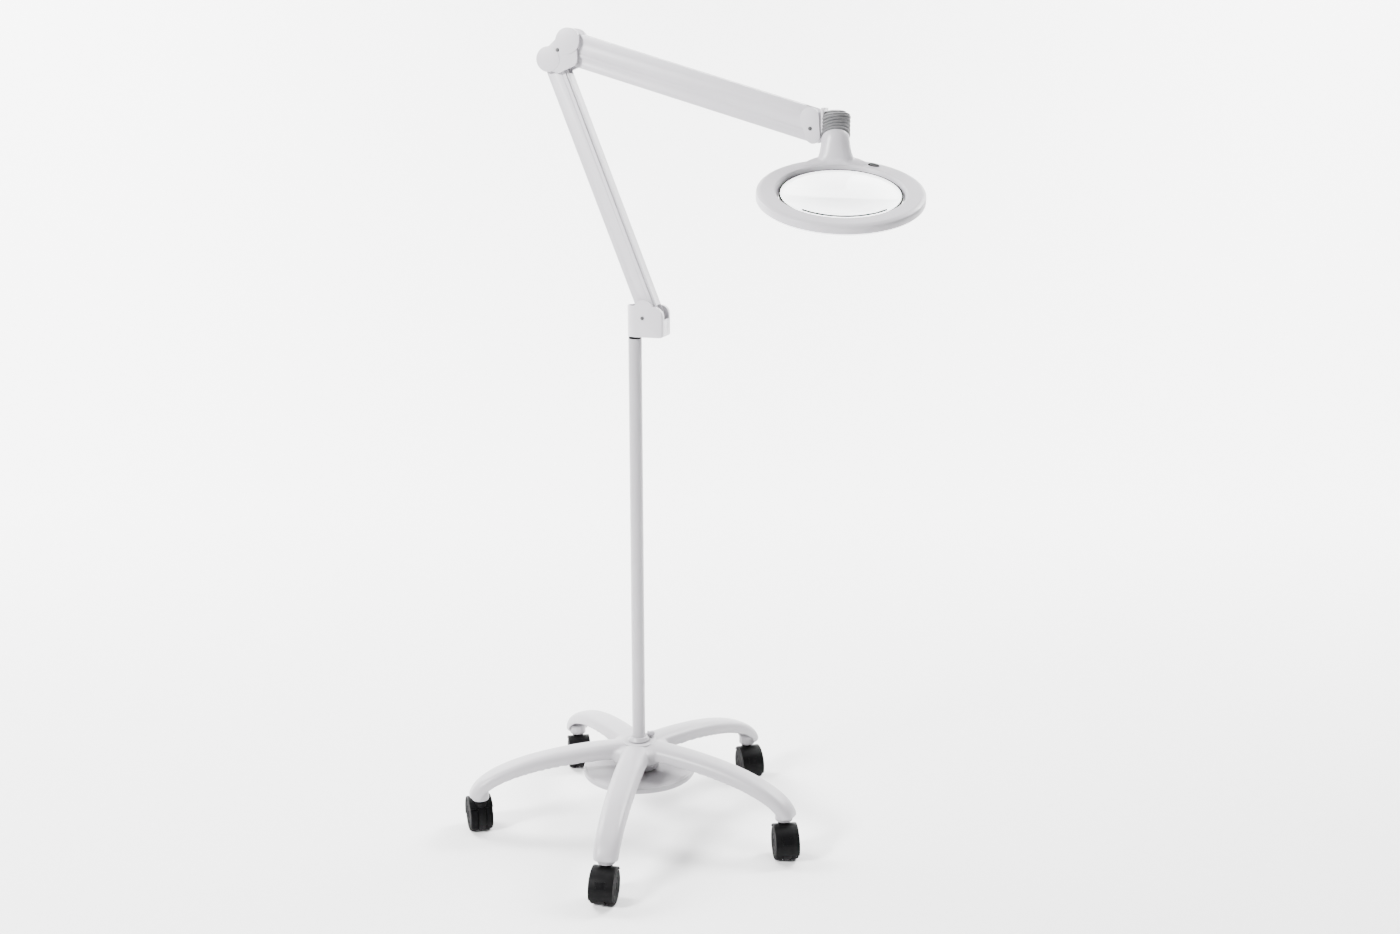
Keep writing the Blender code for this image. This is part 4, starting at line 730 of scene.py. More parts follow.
class LAMP_OT_column(bpy.types.Operator):
    """Column tube with its collar, clamp screw and swivel spigot"""

    bl_idname = "lamp.column"
    bl_label = "Column"

    def execute(self, context):
        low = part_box("column")[0].z
        wall = 0.0015
        shape = bmesh.new()
        profile = [
            (COLUMN_RADIUS - wall, low, 0),
            (COLUMN_RADIUS - wall, COLUMN_TOP, 0.0004),
            (COLUMN_RADIUS, COLUMN_TOP, 0.0006),
            (COLUMN_RADIUS, low, 0),
        ]
        lathe(shape, rounded(profile), 80, closed=True)
        piece(shape, "column_tube", "base", "powder_coat", "column_coat", ("column",))

        collar_low, collar_high = (corner.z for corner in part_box("column_collar"))
        collar = bmesh.new()
        bore = COLUMN_RADIUS + 0.0002
        profile = [
            (bore, collar_low, 0),
            (bore, collar_high, 0.0004),
            (0.0128, collar_high, 0.0012),
            (0.0145, collar_high - 0.0030, 0.0012),
            (0.0158, collar_low + 0.0012, 0.0008),
            (0.0158, collar_low, 0),
        ]
        lathe(collar, rounded(profile), 80, closed=True)
        piece(collar, "collar_ring", "base", "powder_coat", nodes=("column_collar",))

        screw_low, screw_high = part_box("collar_screw")
        way = Vector((screw_high.x, screw_high.y, 0)).normalized()
        level = (screw_low.z + screw_high.z) / 2
        knob = bmesh.new()
        reach = Vector((screw_high.x, screw_high.y, 0)).length
        stand = facing(way, way * (reach - 0.0115) + Vector((0, 0, level)))
        profile = [
            (0, 0.0090, 0),
            (0.0034, 0.0090, 0.0006),
            (0.0040, 0.0082, 0.0004),
            (0.0040, 0.0014, 0.0004),
            (0, 0.0010, 0),
        ]
        made = lathe(knob, rounded(profile), 48, stand)
        centre_line = stand.inverted()
        for vert in made:
            local = centre_line @ vert.co
            ridge = 1.0 + KNURL_DEPTH * cos(KNURL_COUNT * atan2(local.y, local.x))
            if 0.0016 < local.z < 0.0080 and local.xy.length > 0.0036:
                vert.co = stand @ Vector((local.x * ridge, local.y * ridge, local.z))
        washer = [(0, 0.0008, 0), (0.0048, 0.0008, 0.0002), (0.0048, -0.0002, 0.0002), (0, -0.0002, 0)]
        lathe(knob, rounded(washer), 48, stand)
        lathe(knob, [(0, 0.0012), (0.0015, 0.0012), (0.0015, -0.0040), (0, -0.0040)], 24, stand)
        close_up(knob)
        piece(knob, "clamp_knob", "base", "powder_coat", "white_enamel", ("collar_screw",))
        # The swivel spigot is a real part; its black finish is painted shade, standing in for the shadowed
        # gap between the column's top and the bracket.
        finer("column_spigot", "swivel_spigot_painted_shade", "black_plastic", 0.0004)
        return {"FINISHED"}


# --- Castors ---------------------------------------------------------------------------------

WHEEL_GAP = 0.0111  # between the two wheels
WHEEL_WIDTH = 0.0112
HOOD_RADIUS = WHEEL_RADIUS + 0.0022
HOOD_FRONT = radians(112)  # from straight up, over the wheels and down the trailing side
HOOD_BACK = radians(52)
WEB_DROP = 0.80  # how far down the web between the wheels reaches, as a share of their radius
WINDOW_RISE = radians(24)  # how far the brake window stands above the axle's level


def castor_frame(index):
    """The castor's own frame: X the way it trails, Y its axle, at the middle of its axle."""
    swivel, roll = joint_place(f"castor_swivel_{index}"), joint_place(f"castor_roll_{index}")
    trail = roll.xy - swivel.xy
    middle = Matrix.Translation((roll.x, roll.y, WHEEL_RADIUS))
    return middle @ Matrix.Rotation(atan2(trail.y, trail.x), 4, "Z")


def add_hood(shape, stand):
    """The hood's skin: a strip across both wheels, spun over them."""
    half = WHEEL_GAP / 2 + WHEEL_WIDTH + 0.0006
    crown = HOOD_RADIUS
    strip = rounded(
        [
            (crown - 0.0016, -half, 0),
            (crown, -half, 0.0008),
            (crown, half, 0.0008),
            (crown - 0.0016, half, 0),
        ]
    )
    start = Matrix.Rotation(pi / 2 - HOOD_FRONT, 4, (0, -1, 0))
    corners = [shape.verts.new(start @ Vector((point[0], point[1], 0.0))) for point in strip]
    edges = [shape.edges.new(pair) for pair in zip(corners, corners[1:] + corners[:1])]
    face = shape.faces.new(corners)
    bmesh.ops.spin(
        shape,
        geom=[face, *corners, *edges],
        cent=(0, 0, 0),
        axis=(0, -1, 0),
        angle=HOOD_FRONT + HOOD_BACK,
        steps=48,
    )
    linked = set(corners)
    grown = True
    while grown:
        more = {edge.other_vert(vert) for vert in linked for edge in vert.link_edges} - linked
        grown = bool(more)
        linked |= more
    bmesh.ops.transform(shape, matrix=stand, verts=list(linked))


class LAMP_OT_castors(bpy.types.Operator):
    """Hooded twin-wheel castors with their stems"""

    bl_idname = "lamp.castors"
    bl_label = "Castors"

    def execute(self, context):
        for index in range(CASTOR_COUNT):
            self.housing(index)
            self.wheels(index)
            finer(f"castor_stem_{index}", f"castor_pin_{index}", "steel", 0.0004)
        return {"FINISHED"}

    def housing(self, index):
        stand = castor_frame(index)
        swivel = joint_place(f"castor_swivel_{index}")
        shape = bmesh.new()
        add_hood(shape, stand)
        half = WHEEL_GAP / 2 - 0.0003
        side = stand @ Matrix.Rotation(-pi / 2, 4, "X")
        reach = HOOD_RADIUS - 0.0008
        web = [(0, half, 0), (reach, half, 0.0004), (reach, -half, 0.0004), (0, -half, 0)]
        before = set(shape.verts)
        lathe(shape, rounded(web), 64, side)
        fresh = [vert for vert in shape.verts if vert not in before]
        floor_cut = stand @ Vector((0, 0, -WHEEL_RADIUS * WEB_DROP))
        geom = fresh + [
            item
            for item in [*shape.edges, *shape.faces]
            if all(vert not in before for vert in item.verts)
        ]
        cut = bmesh.ops.bisect_plane(
            shape, geom=geom, plane_co=floor_cut, plane_no=(0, 0, -1), clear_outer=True, dist=1e-6
        )
        rim = [item for item in cut["geom_cut"] if isinstance(item, bmesh.types.BMEdge)]
        bmesh.ops.contextual_create(shape, geom=rim)
        neck = Matrix.Translation((swivel.x, swivel.y, 0))
        profile = [
            (0, FOOT_HEIGHT - 0.0003, 0),
            (0.0072, FOOT_HEIGHT - 0.0003, 0.0004),
            (0.0072, FOOT_HEIGHT - 0.0030, 0.0004),
            (0.0086, FOOT_HEIGHT - 0.0036, 0.0006),
            (0.0092, FOOT_HEIGHT - 0.0090, 0.0004),
            (0, FOOT_HEIGHT - 0.0200, 0),
        ]
        lathe(shape, rounded(profile), 48, neck)
        window = 0.0064
        raised = stand @ Matrix.Rotation(-WINDOW_RISE, 4, "Y")
        latch = Matrix.Translation((HOOD_RADIUS - 0.0004, 0, 0))
        outline = [(-0.0012, -0.0052), (0.0006, -0.0046), (0.0006, 0.0046), (-0.0012, 0.0052)]
        for side_sign in (-1, 1):
            across = Matrix.Translation((0, side_sign * window, 0.0015))
            upright = raised @ across @ latch @ Matrix.Rotation(pi / 2, 4, "Y")
            turned_outline = [(-y, x) for x, y in outline]
            plate(shape, turned_outline, -0.0008, 0.0007, upright)
        node = f"castor_housing_{index}"
        piece(shape, f"castor_hood_{index}", f"castor_{index}", "castor_plastic", nodes=(node,))

        recess = bmesh.new()
        face = Matrix.Translation((HOOD_RADIUS + 0.0001, 0.0, 0.0010))
        depth = raised @ face @ Matrix.Rotation(pi / 2, 4, "Y")
        plate(recess, oblong(0.0050, 0.0056), -0.0004, 0.0002, depth)
        soften_edges(recess, 0.0002, 2)
        piece(recess, f"brake_tab_{index}", f"castor_{index}", "castor_plastic", "tread")

    def wheels(self, index):
        stand = castor_frame(index) @ Matrix.Rotation(-pi / 2, 4, "X")
        shape = bmesh.new()
        near = WHEEL_GAP / 2 + 0.0001
        far = near + WHEEL_WIDTH
        radius = WHEEL_RADIUS
        profile = [
            (0, far - 0.0010, 0),
            (0.0050, far - 0.0010, 0.0004),
            (0.0056, far - 0.0004, 0.0003),
            (0.0120, far - 0.0006, 0.0010),
            (0.0126, far - 0.0012, 0.0002),
            (0.0132, far - 0.0004, 0.0002),
            (radius - 0.0034, far - 0.0001, 0.0004),
            (radius - 0.0030, far - 0.0008, 0.0002),
            (radius - 0.0026, far - 0.0001, 0.0002),
            (radius, far, 0.0016),
            (radius, near, 0.0010),
            (radius - 0.0040, near, 0.0004),
            (radius - 0.0052, near + 0.0016, 0.0004),
            (0.0060, near + 0.0016, 0.0004),
            (0.0056, near, 0.0002),
            (0, near, 0),
        ]
        line = rounded(profile, 3)
        for sign in (1, -1):
            lathe(shape, [(point[0], sign * point[1]) for point in line], 72, stand)
        lathe(shape, [(0, near), (0.0030, near), (0.0030, -near), (0, -near)], 32, stand)
        body, node = f"castor_wheelset_{index}", f"castor_wheels_{index}"
        piece(shape, f"castor_tyres_{index}", body, "castor_plastic", "tread", (node,))


# --- Arm -------------------------------------------------------------------------------------


class LAMP_OT_arm_shells(bpy.types.Operator):
    """Bracket, beams, links and joint covers"""

    bl_idname = "lamp.arm_shells"
    bl_label = "Arm Shells"

    def execute(self, context):
        for node in ("bracket_cover_front", "bracket_cover_rear"):
            finer(node, node.replace("cover", "shell"), "white_enamel", 0.0009, segments=4)
        for joint in ("elbow", "head"):
            for side in ("front", "rear"):
                finer(f"{joint}_cover_{side}", f"{joint}_shell_{side}", "white_enamel", 0.0008, segments=4)
        for arm in ("lower", "upper"):
            finer(f"{arm}_beam", f"{arm}_beam_sheet", "white_enamel", 0.0005)
            finer(f"{arm}_link", f"{arm}_link_sheet", "white_enamel", 0.0004)
        finer("column_bracket", "bracket_body", "white_enamel", 0.0005)
        finer("head_block", "head_carrier", "white_enamel", 0.0005)
        finer("elbow_block", "elbow_core", "steel", 0.0004)
        return {"FINISHED"}


SPRING_RADIUS = 0.0038
SPRING_END_ROOM = 0.030  # from a joint's axis to the end of the spring
SPRING_STEPS = 16  # around each turn


def helix(shape, start, end, radius, wire, coils):
    """A coil spring: a small circle spun and carried along its axis."""
    axis = (end - start).normalized()
    stand = facing(axis, start)
    length = (end - start).length
    local = bmesh.ops.create_circle(shape, segments=8, radius=wire, cap_ends=True)["verts"]
    lift = Matrix.Translation((radius, 0, 0)) @ Matrix.Rotation(pi / 2, 4, "X")
    bmesh.ops.transform(shape, matrix=stand @ lift, verts=local)
    faces = list({face for vert in local for face in vert.link_faces})
    edges = list({edge for vert in local for edge in vert.link_edges})
    steps = coils * SPRING_STEPS
    bmesh.ops.spin(
        shape,
        geom=local + edges + faces,
        cent=start,
        axis=axis,
        dvec=axis * (length / steps),
        angle=coils * 2 * pi,
        steps=steps,
        use_merge=False,
    )


class LAMP_OT_arm_fittings(bpy.types.Operator):
    """Pins, slotted screws and the balance springs"""

    bl_idname = "lamp.arm_fittings"
    bl_label = "Arm Fittings"

    def execute(self, context):
        pins = ["bracket_main_pin", "bracket_link_pin", "head_main_pin", "head_link_pin"]
        pins += ["elbow_lower_pin", "elbow_lower_link_pin", "elbow_upper_pin", "elbow_upper_link_pin"]
        for node in pins:
            finer(node, f"{node}_turned", "steel", 0.0003)
        for node in ("bracket_screw", "elbow_screw", "head_screw"):
            finer(node, f"{node}_slotted", "steel", 0.00015, "dark_steel", 2)
        self.spring("lower_spring", "lower_arm_tilt", "elbow_level", context.scene.lamp_sizes)
        self.spring("upper_spring", "upper_arm_tilt", "head_level", context.scene.lamp_sizes)
        return {"FINISHED"}

    def spring(self, node, near_joint, far_joint, sizes):
        near, far = joint_place(near_joint), joint_place(far_joint)
        along = (far - near).normalized()
        middle = node_middle(node)
        half = (far - near).length / 2 - SPRING_END_ROOM
        shape = bmesh.new()
        start, end = middle - along * half, middle + along * half
        helix(shape, start, end, SPRING_RADIUS, sizes.spring_wire, sizes.spring_coils)
        body = frame["nodes"][node]["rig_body"]
        piece(shape, f"{node}_coil", body, "steel", nodes=(node,), smooth=radians(80))


# --- Head ------------------------------------------------------------------------------------

BOOT_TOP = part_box("bellows")[1].z
BOOT_RADIUS = 0.0212
BOOT_STRAIGHT = 0.0175
BOOT_BEND = 0.0280
NECK_LEAN = radians(40)
BOOT_LEAN_EASE = 0.75  # how early the folds lean towards the neck
BOOT_SIDE_LEAN = radians(-7)
BOOT_ARM_CLEAR = 0.0168  # the boot is flat on the arm's side, to clear the beam's end
NECK_MOUTH = 0.0188
CROWN_STEPS, CROWN_DEPTH = 6, 0.0045
RIBS_START = 0.0050  # down from the boot's top
RIB_STEPS = 10
RIB_FULLNESS = 0.55  # less makes a rib rounder and its crease sharper


def boot_station(run):
    """The boot's middle line at a distance from its top, as a matrix with Z pointing back up the line."""
    if run <= BOOT_STRAIGHT:
        lean = 0.0
        place = Vector((0.0, 0.0, -run))
    else:
        lean = (run - BOOT_STRAIGHT) / BOOT_BEND
        place = Vector((0.0, -BOOT_BEND * (1 - cos(lean)), -BOOT_STRAIGHT - BOOT_BEND * sin(lean)))
    top = Vector((SWIVEL.x, SWIVEL.y, BOOT_TOP))
    share = min(1.0, run / (BOOT_STRAIGHT + BOOT_BEND * NECK_LEAN))
    rib_lean = NECK_LEAN * share**BOOT_LEAN_EASE
    sideways = BOOT_SIDE_LEAN * sin(pi * share)
    turned = Matrix.Rotation(-rib_lean, 4, "X") @ Matrix.Rotation(sideways, 4, "Y")
    return Matrix.Translation(top + place) @ turned


def circle_verts(shape, stand, across, along, sides):
    """A ring of vertices and its edges, scaled to an ellipse."""
    verts = bmesh.ops.create_circle(shape, segments=sides, radius=1.0)["verts"]
    bmesh.ops.transform(shape, matrix=stand @ Matrix.Diagonal((across, along, 1.0, 1.0)), verts=verts)
    ring = set(verts)
    around = {edge for vert in verts for edge in vert.link_edges}
    return verts, [edge for edge in around if edge.other_vert(edge.verts[0]) in ring]


def loft(shape, stations, sides=64, cap_start=True, cap_end=True):
    """Ellipses (matrix, across, along) bridged in a row."""
    loops = [circle_verts(shape, *station, sides)[1] for station in stations]
    for first, second in zip(loops, loops[1:]):
        bmesh.ops.bridge_loops(shape, edges=first + second)
    for loop, wanted in ((loops[0], cap_start), (loops[-1], cap_end)):
        if wanted:
            bmesh.ops.contextual_create(shape, geom=loop)


class LAMP_OT_boot(bpy.types.Operator):
    """Ribbed rubber boot over the head's swivel and tilt joints"""

    bl_idname = "lamp.boot"
    bl_label = "Rubber Boot"

    def execute(self, context):
        sizes = context.scene.lamp_sizes
        length = BOOT_STRAIGHT + BOOT_BEND * NECK_LEAN
        shape = bmesh.new()
        stations = []
        for step in range(1, CROWN_STEPS):
            share = step / CROWN_STEPS
            radius = (BOOT_RADIUS - 0.0075) * sin(share * pi / 2) + 0.0010
            stations.append((boot_station(CROWN_DEPTH * (1 - cos(share * pi / 2))), radius, radius))
        ribs = sizes.bellows_ribs
        for step in range(ribs * RIB_STEPS + 1):
            share = step / (ribs * RIB_STEPS)
            run = RIBS_START + (length - RIBS_START) * share
            phase = (step % RIB_STEPS) / RIB_STEPS
            fold = abs(sin(pi * phase)) ** RIB_FULLNESS
            swell = BOOT_RADIUS - 0.0052 * (1 - min(1.0, share * 4.5)) ** 2 - 0.0012 * share
            radius = swell - sizes.bellows_depth * (1 - fold)
            stations.append((boot_station(run), radius, radius))
        stations.append((boot_station(length + 0.0002), NECK_MOUTH - 0.0034, NECK_MOUTH - 0.0034))
        stations.append((boot_station(length + 0.0035), NECK_MOUTH - 0.0036, NECK_MOUTH - 0.0036))
        loft(shape, stations, 72)
        close_up(shape)
        along = Vector((cos(ARM_AZIMUTH), sin(ARM_AZIMUTH), 0.0))
        for vert in shape.verts:
            reach = (vert.co - SWIVEL).dot(along)
            if reach < -BOOT_ARM_CLEAR:
                vert.co -= along * (reach + BOOT_ARM_CLEAR)
        boot = as_object(shape, "rubber_boot")
        settle(boot, None, "grey_rubber", nodes=("bellows",), smooth=radians(50))
        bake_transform(boot)

        finer("swivel_yoke", "swivel_fork", "steel", 0.0004)
        finer("tilt_axle", "tilt_axle_turned", "steel", 0.0003)
        finer("tilt_knuckle", "tilt_stem", "steel", 0.0004)
        return {"FINISHED"}


SWITCH_LENGTH = 0.0080  # half of it
SWITCH_WIDTH = 0.0045  # half of it
SWITCH_ROOM = 1.05  # the hole for the switch, as a share of the switch


def switch_stand():
    """The switch's own frame: X along its oval, Z out of the ring."""
    centre = RING_FRAME.inverted() @ node_middle("switch_button")
    turn = atan2(centre.y, centre.x) - pi / 2
    return RING_FRAME @ Matrix.Translation((centre.x, centre.y, 0)) @ Matrix.Rotation(turn, 4, "Z")


def switch_rings(stations, squash=1.0):
    """Ovals over the switch, from (height, share of its size)."""
    stand = switch_stand()
    return [
        (
            stand @ Matrix.Translation((0, 0, height)),
            SWITCH_LENGTH * share,
            SWITCH_WIDTH * share * squash,
        )
        for height, share in stations
    ]


OPENING_RADIUS = 0.0840
OPENING_SLOPE = 0.0050
SHOULDER_BEND_TOP = 0.0055  # above this height the neck no longer follows the ring's curve
RING_WALL = 0.0024


class LAMP_OT_head_housing(bpy.types.Operator):
    """Moulded ring housing with its neck, front ledge and lugs"""

    bl_idname = "lamp.head_housing"
    bl_label = "Head Housing"

    def execute(self, context):
        depth = context.scene.lamp_sizes.ring_depth
        outer, opening = RING_RADIUS, OPENING_RADIUS
        profile = [
            (opening, -0.0004, 0),
            (opening + 0.0012, 0.0, 0.0008),
            (outer - 0.0050, 0.0, 0.0090),
            (outer - 0.0006, -0.0022, 0.0018),
            (outer, -0.0060, 0.0060),
            (outer, -depth, 0.0012),
            (outer - 0.0030, -depth, 0.0004),
            (outer - RING_WALL, -depth + 0.0020, 0.0004),
            (outer - RING_WALL, -RING_WALL - 0.0020, 0.0015),
            (outer - 0.0060, -RING_WALL, 0.0020),
            (opening + 0.0022, -RING_WALL, 0.0010),
            (opening - OPENING_SLOPE + 0.0022, -depth, 0.0003),
            (opening - OPENING_SLOPE, -depth, 0.0003),
        ]
        shape = bmesh.new()
        lathe(shape, rounded(profile, 5), 192, RING_FRAME, closed=True)
        self.front_ledge(shape)
        self.rear_block(shape)
        close_up(shape)
        shell = as_object(shape, "ring_shell")
        room = bmesh.new()
        loft(room, switch_rings(((-0.0060, SWITCH_ROOM), (0.0030, SWITCH_ROOM))))
        cut_away(shell, room)
        settle(shell, "head", "white_plastic", nodes=("head_housing",))
        self.neck()
        return {"FINISHED"}

    def front_ledge(self, shape):
        down = -pi / 2
        front_arc, steps = radians(44), 24
        outer, inner = OPENING_RADIUS + 0.0014, 0.0790
        turns = [down - front_arc + 2 * front_arc * step / steps for step in range(steps + 1)]
        outline = arc(outer, turns) + arc(inner, reversed(turns))
        ledge = bmesh.new()
        plate(ledge, outline, -RING_WALL + 0.0002, -0.00005, RING_FRAME)
        soften_edges(ledge, 0.0006, 3, radians(60))
        self.absorb(shape, ledge)
        for side in (-1, 1):
            near, far = down + side * (front_arc - radians(1)), down + side * radians(74)
            chord = [near + (far - near) * step / 8 for step in range(9)]
            edge = [(OPENING_RADIUS + 0.0014, turn) for turn in chord]
            reach = LENS_RADIUS - 0.0008
            back = [(reach, far - side * radians(1.0)), (reach - 0.0014, far - side * radians(9))]
            back += [(reach - 0.0006, near + side * radians(7)), (0.0788, near)]
            lug = bmesh.new()
            corners = [(out * cos(turn), out * sin(turn)) for out, turn in edge + back]
            plate(lug, corners, -RING_WALL + 0.0002, -0.0001, RING_FRAME)
            soften_edges(lug, 0.0007, 3, radians(60))
            self.absorb(shape, lug)

    def rear_block(self, shape):
        """The block under the neck, which reaches into the opening."""
        up = pi / 2
        spread = radians(17)
        turns = [up - spread + 2 * spread * step / 12 for step in range(13)]
        outline = arc(OPENING_RADIUS + 0.0010, turns) + arc(0.0792, reversed(turns))
        block = bmesh.new()
        made = plate(block, outline, -0.0046, -0.0002, RING_FRAME)
        for vert in made:
            local = RING_FRAME.inverted() @ vert.co
            if local.z > -0.002 and local.xy.length < 0.082:
                vert.co = RING_FRAME @ (local + Vector((0, 0.0022, 0)))
        soften_edges(block, 0.0007, 3, radians(50))
        self.absorb(shape, block)

    def absorb(self, shape, other):
        close_up(other)
        mesh = bpy.data.meshes.new("part")
        other.to_mesh(mesh)
        other.free()
        shape.from_mesh(mesh)
        bpy.data.meshes.remove(mesh)

    def neck(self):
        length = BOOT_STRAIGHT + BOOT_BEND * NECK_LEAN
        mouth = boot_station(length + 0.0006)
        way = -(mouth.to_3x3() @ Vector((0, 0, 1)))
        foot_depth = 0.0125
        foot = RING_FRAME @ Vector((0, RING_RADIUS - foot_depth - 0.0010, 0.0))
        middle = (mouth.translation + foot) / 2 + Vector((0, -0.0015, 0.0010))

        def level(place, lean):
            return Matrix.Translation(place) @ Matrix.Rotation(lean, 4, "X")

        up = RING_FRAME.to_3x3() @ Vector((0, 0, 1))
        rim, lean = mouth.translation, -NECK_LEAN
        outside = [
            (level(rim - way * 0.0001, lean), NECK_MOUTH - 0.0024, NECK_MOUTH - 0.0024),
            (level(rim - way * 0.0002, lean), NECK_MOUTH - 0.0010, NECK_MOUTH - 0.0010),
            (level(rim + way * 0.0004, lean), NECK_MOUTH - 0.0001, NECK_MOUTH - 0.0001),
            (level(rim + way * 0.0060, lean * 0.8), NECK_MOUTH, NECK_MOUTH * 0.97),
            (level(middle, 0.0), NECK_MOUTH * 1.07, NECK_MOUTH * 0.80),
            (level(foot + up * 0.0075, RING_TILT * 0.6), 0.0226, foot_depth * 1.02),
            (level(foot + up * 0.0050, RING_TILT * 0.9), 0.0242, foot_depth * 0.98),
            (level(foot + up * 0.0040, RING_TILT), 0.0275, foot_depth * 0.96),
            (level(foot + up * 0.0032, RING_TILT), 0.0330, foot_depth * 0.94),
            (level(foot + up * 0.0019, RING_TILT), 0.0385, foot_depth * 0.93),
            (level(foot + up * 0.0005, RING_TILT), 0.0425, foot_depth * 0.92),
            (level(foot - up * 0.0008, RING_TILT), 0.0440, foot_depth * 0.92),
        ]
        shape = bmesh.new()
        loft(shape, outside, 64, cap_start=False, cap_end=False)
        close_up(shape)
        into_ring = RING_FRAME.inverted()
        bend = RING_RADIUS - foot_depth
        for vert in shape.verts:
            local = into_ring @ vert.co
            if local.z < SHOULDER_BEND_TOP:
                share = min(1.0, (SHOULDER_BEND_TOP - local.z) / SHOULDER_BEND_TOP)
                local.y -= share * (bend - sqrt(bend**2 - local.x**2))
                vert.co = RING_FRAME @ local
        neck = as_object(shape, "lamp_neck")
        wall = neck.modifiers.new("wall", "SOLIDIFY")
        wall.thickness = 0.0018
        wall.offset = -1.0
        refine = neck.modifiers.new("refine", "SUBSURF")
        refine.levels = refine.render_levels = 1
        settle(neck, "head", "white_plastic", smooth=radians(60))


class LAMP_OT_lens(bpy.types.Operator):
    """Biconvex lens with its black seal and white keeper, a painted glow round its edge and a black strip of
    painted shade at the front of the opening
    """

    bl_idname = "lamp.lens"
    bl_label = "Lens"

    def execute(self, context):
        sag, edge, top = 0.0065, 0.0040, -0.0050
        radius = LENS_RADIUS
        curve = (radius**2 + sag**2) / (2 * sag)

        def crown(out):
            return sqrt(curve**2 - out**2) - (curve - sag)

        rings = 24
        outs = [radius * step / rings for step in range(rings + 1)]
        upper = [(out, top + crown(out)) for out in outs]
        lower = [(out, top - edge - crown(out)) for out in reversed(outs)]
        shape = bmesh.new()
        lathe(shape, upper + lower, 128, RING_FRAME)
        piece(shape, "lens_glass", "head", "glass", nodes=("lens",), smooth=radians(30))

        seal = bmesh.new()
        inner = radius + 0.0003
        profile = [
            (inner, top - edge, 0),
            (inner, top + 0.0004, 0.0004),
            (inner + 0.0026, top + 0.0002, 0.0005),
            (inner + 0.0026, top - 0.0012, 0.0003),
            (inner + 0.0018, top - edge, 0),
        ]
        lathe(seal, rounded(profile), 128, RING_FRAME, closed=True)
        piece(seal, "lens_gasket", "head", "black_plastic", nodes=("lens_seal",))

        # Painted glow: a thin skin round the lens's edge glows like the chips, standing in for the ring
        # light caught in the ground glass edge.
        ground = bmesh.new()
        near, far = radius + 0.00005, radius + 0.00025
        skin = [(near, top - edge), (near, top), (far, top), (far, top - edge)]
        lathe(ground, skin, 128, RING_FRAME, closed=True)
        piece(ground, "lens_edge_painted_glow", "head", "opal", "chip")

        # Painted shade: a black strip along the front arc of the opening only, standing in for the shadowed
        # gap between the ledge and the lens.
        strip = bmesh.new()
        front, half_arc, steps = -pi / 2, radians(42), 24
        turns = [front - half_arc + 2 * half_arc * step / steps for step in range(steps + 1)]
        outline = arc(0.0791, turns) + arc(0.0772, reversed(turns))
        plate(strip, outline, -0.0016, -0.0003, RING_FRAME)
        soften_edges(strip, 0.0002, 2)
        piece(strip, "front_painted_shade_strip", "head", "black_plastic")

        keeper = bmesh.new()
        high, low = top - edge - 0.0003, -context.scene.lamp_sizes.ring_depth
        profile = [
            (radius - 0.0040, low, 0),
            (radius - 0.0040, high - 0.0004, 0.0004),
            (radius + 0.0012, high, 0.0004),
            (radius + 0.0012, low, 0.0003),
        ]
        lathe(keeper, rounded(profile), 128, RING_FRAME, closed=True)
        piece(keeper, "lens_keeper_ring", "head", "white_plastic", nodes=("lens_keeper",))
        return {"FINISHED"}


CHIP_CIRCLE = 0.0950  # radius of the ring of light chips


class LAMP_OT_light(bpy.types.Operator):
    """Ring board with its light chips and the opal diffuser under them"""

    bl_idname = "lamp.light"
    bl_label = "Ring Light"

    def execute(self, context):
        sizes = context.scene.lamp_sizes
        depth = sizes.ring_depth
        inner, outer = OPENING_RADIUS - OPENING_SLOPE, RING_RADIUS
        shape = bmesh.new()
        profile = [
            (inner + 0.0002, -depth - 0.0003, 0),
            (outer - 0.0018, -depth - 0.0003, 0.0004),
            (outer - 0.0040, -depth - 0.0033, 0.0016),
            (inner + 0.0030, -depth - 0.0033, 0.0014),
        ]
        lathe(shape, rounded(profile), 160, RING_FRAME, closed=True)
        piece(shape, "opal_diffuser", "head", "opal", nodes=("diffuser",))

        finer("led_board", "ring_board", "circuit", 0.0002)
        chips = bmesh.new()
        level = -BOARD_DEPTH - 0.0012
        for index in range(sizes.led_count):
            turn = Matrix.Rotation(2 * pi * index / sizes.led_count, 4, "Z")
            stand = RING_FRAME @ turn @ Matrix.Translation((CHIP_CIRCLE, 0, level))
            plate(chips, oblong(0.0014, 0.0014), -0.0004, 0.0004, stand)
        soften_edges(chips, 0.0002, 2)
        piece(chips, "light_chips", "head", "opal", "chip")
        return {"FINISHED"}


class LAMP_OT_switch(bpy.types.Operator):
    """Oval push switch with its bezel"""

    bl_idname = "lamp.switch"
    bl_label = "Switch"

    def execute(self, context):
        cap = bmesh.new()
        stations = [
            (-0.0020, 1.00),
            (0.0004, 1.00),
            (0.0010, 0.97),
            (0.0014, 0.90),
            (0.0015, 0.78),
            (0.0012, 0.60),
            (0.0010, 0.20),
        ]
        loft(cap, switch_rings(stations))
        piece(cap, "switch_cap", "switch", "black_plastic", nodes=("switch_button",))

        bezel = bmesh.new()
        stations = [(-0.0006, 1.06), (0.0002, 1.07), (0.00045, 1.12), (0.00035, 1.18), (-0.0001, 1.22)]
        loft(bezel, switch_rings(stations, squash=1.04), cap_start=False, cap_end=False)
        close_up(bezel)
        made = as_object(bezel, "switch_bezel")
        wall = made.modifiers.new("wall", "SOLIDIFY")
        wall.thickness = 0.0004
        settle(made, "head", "white_plastic")
        return {"FINISHED"}


# --- Stage -----------------------------------------------------------------------------------

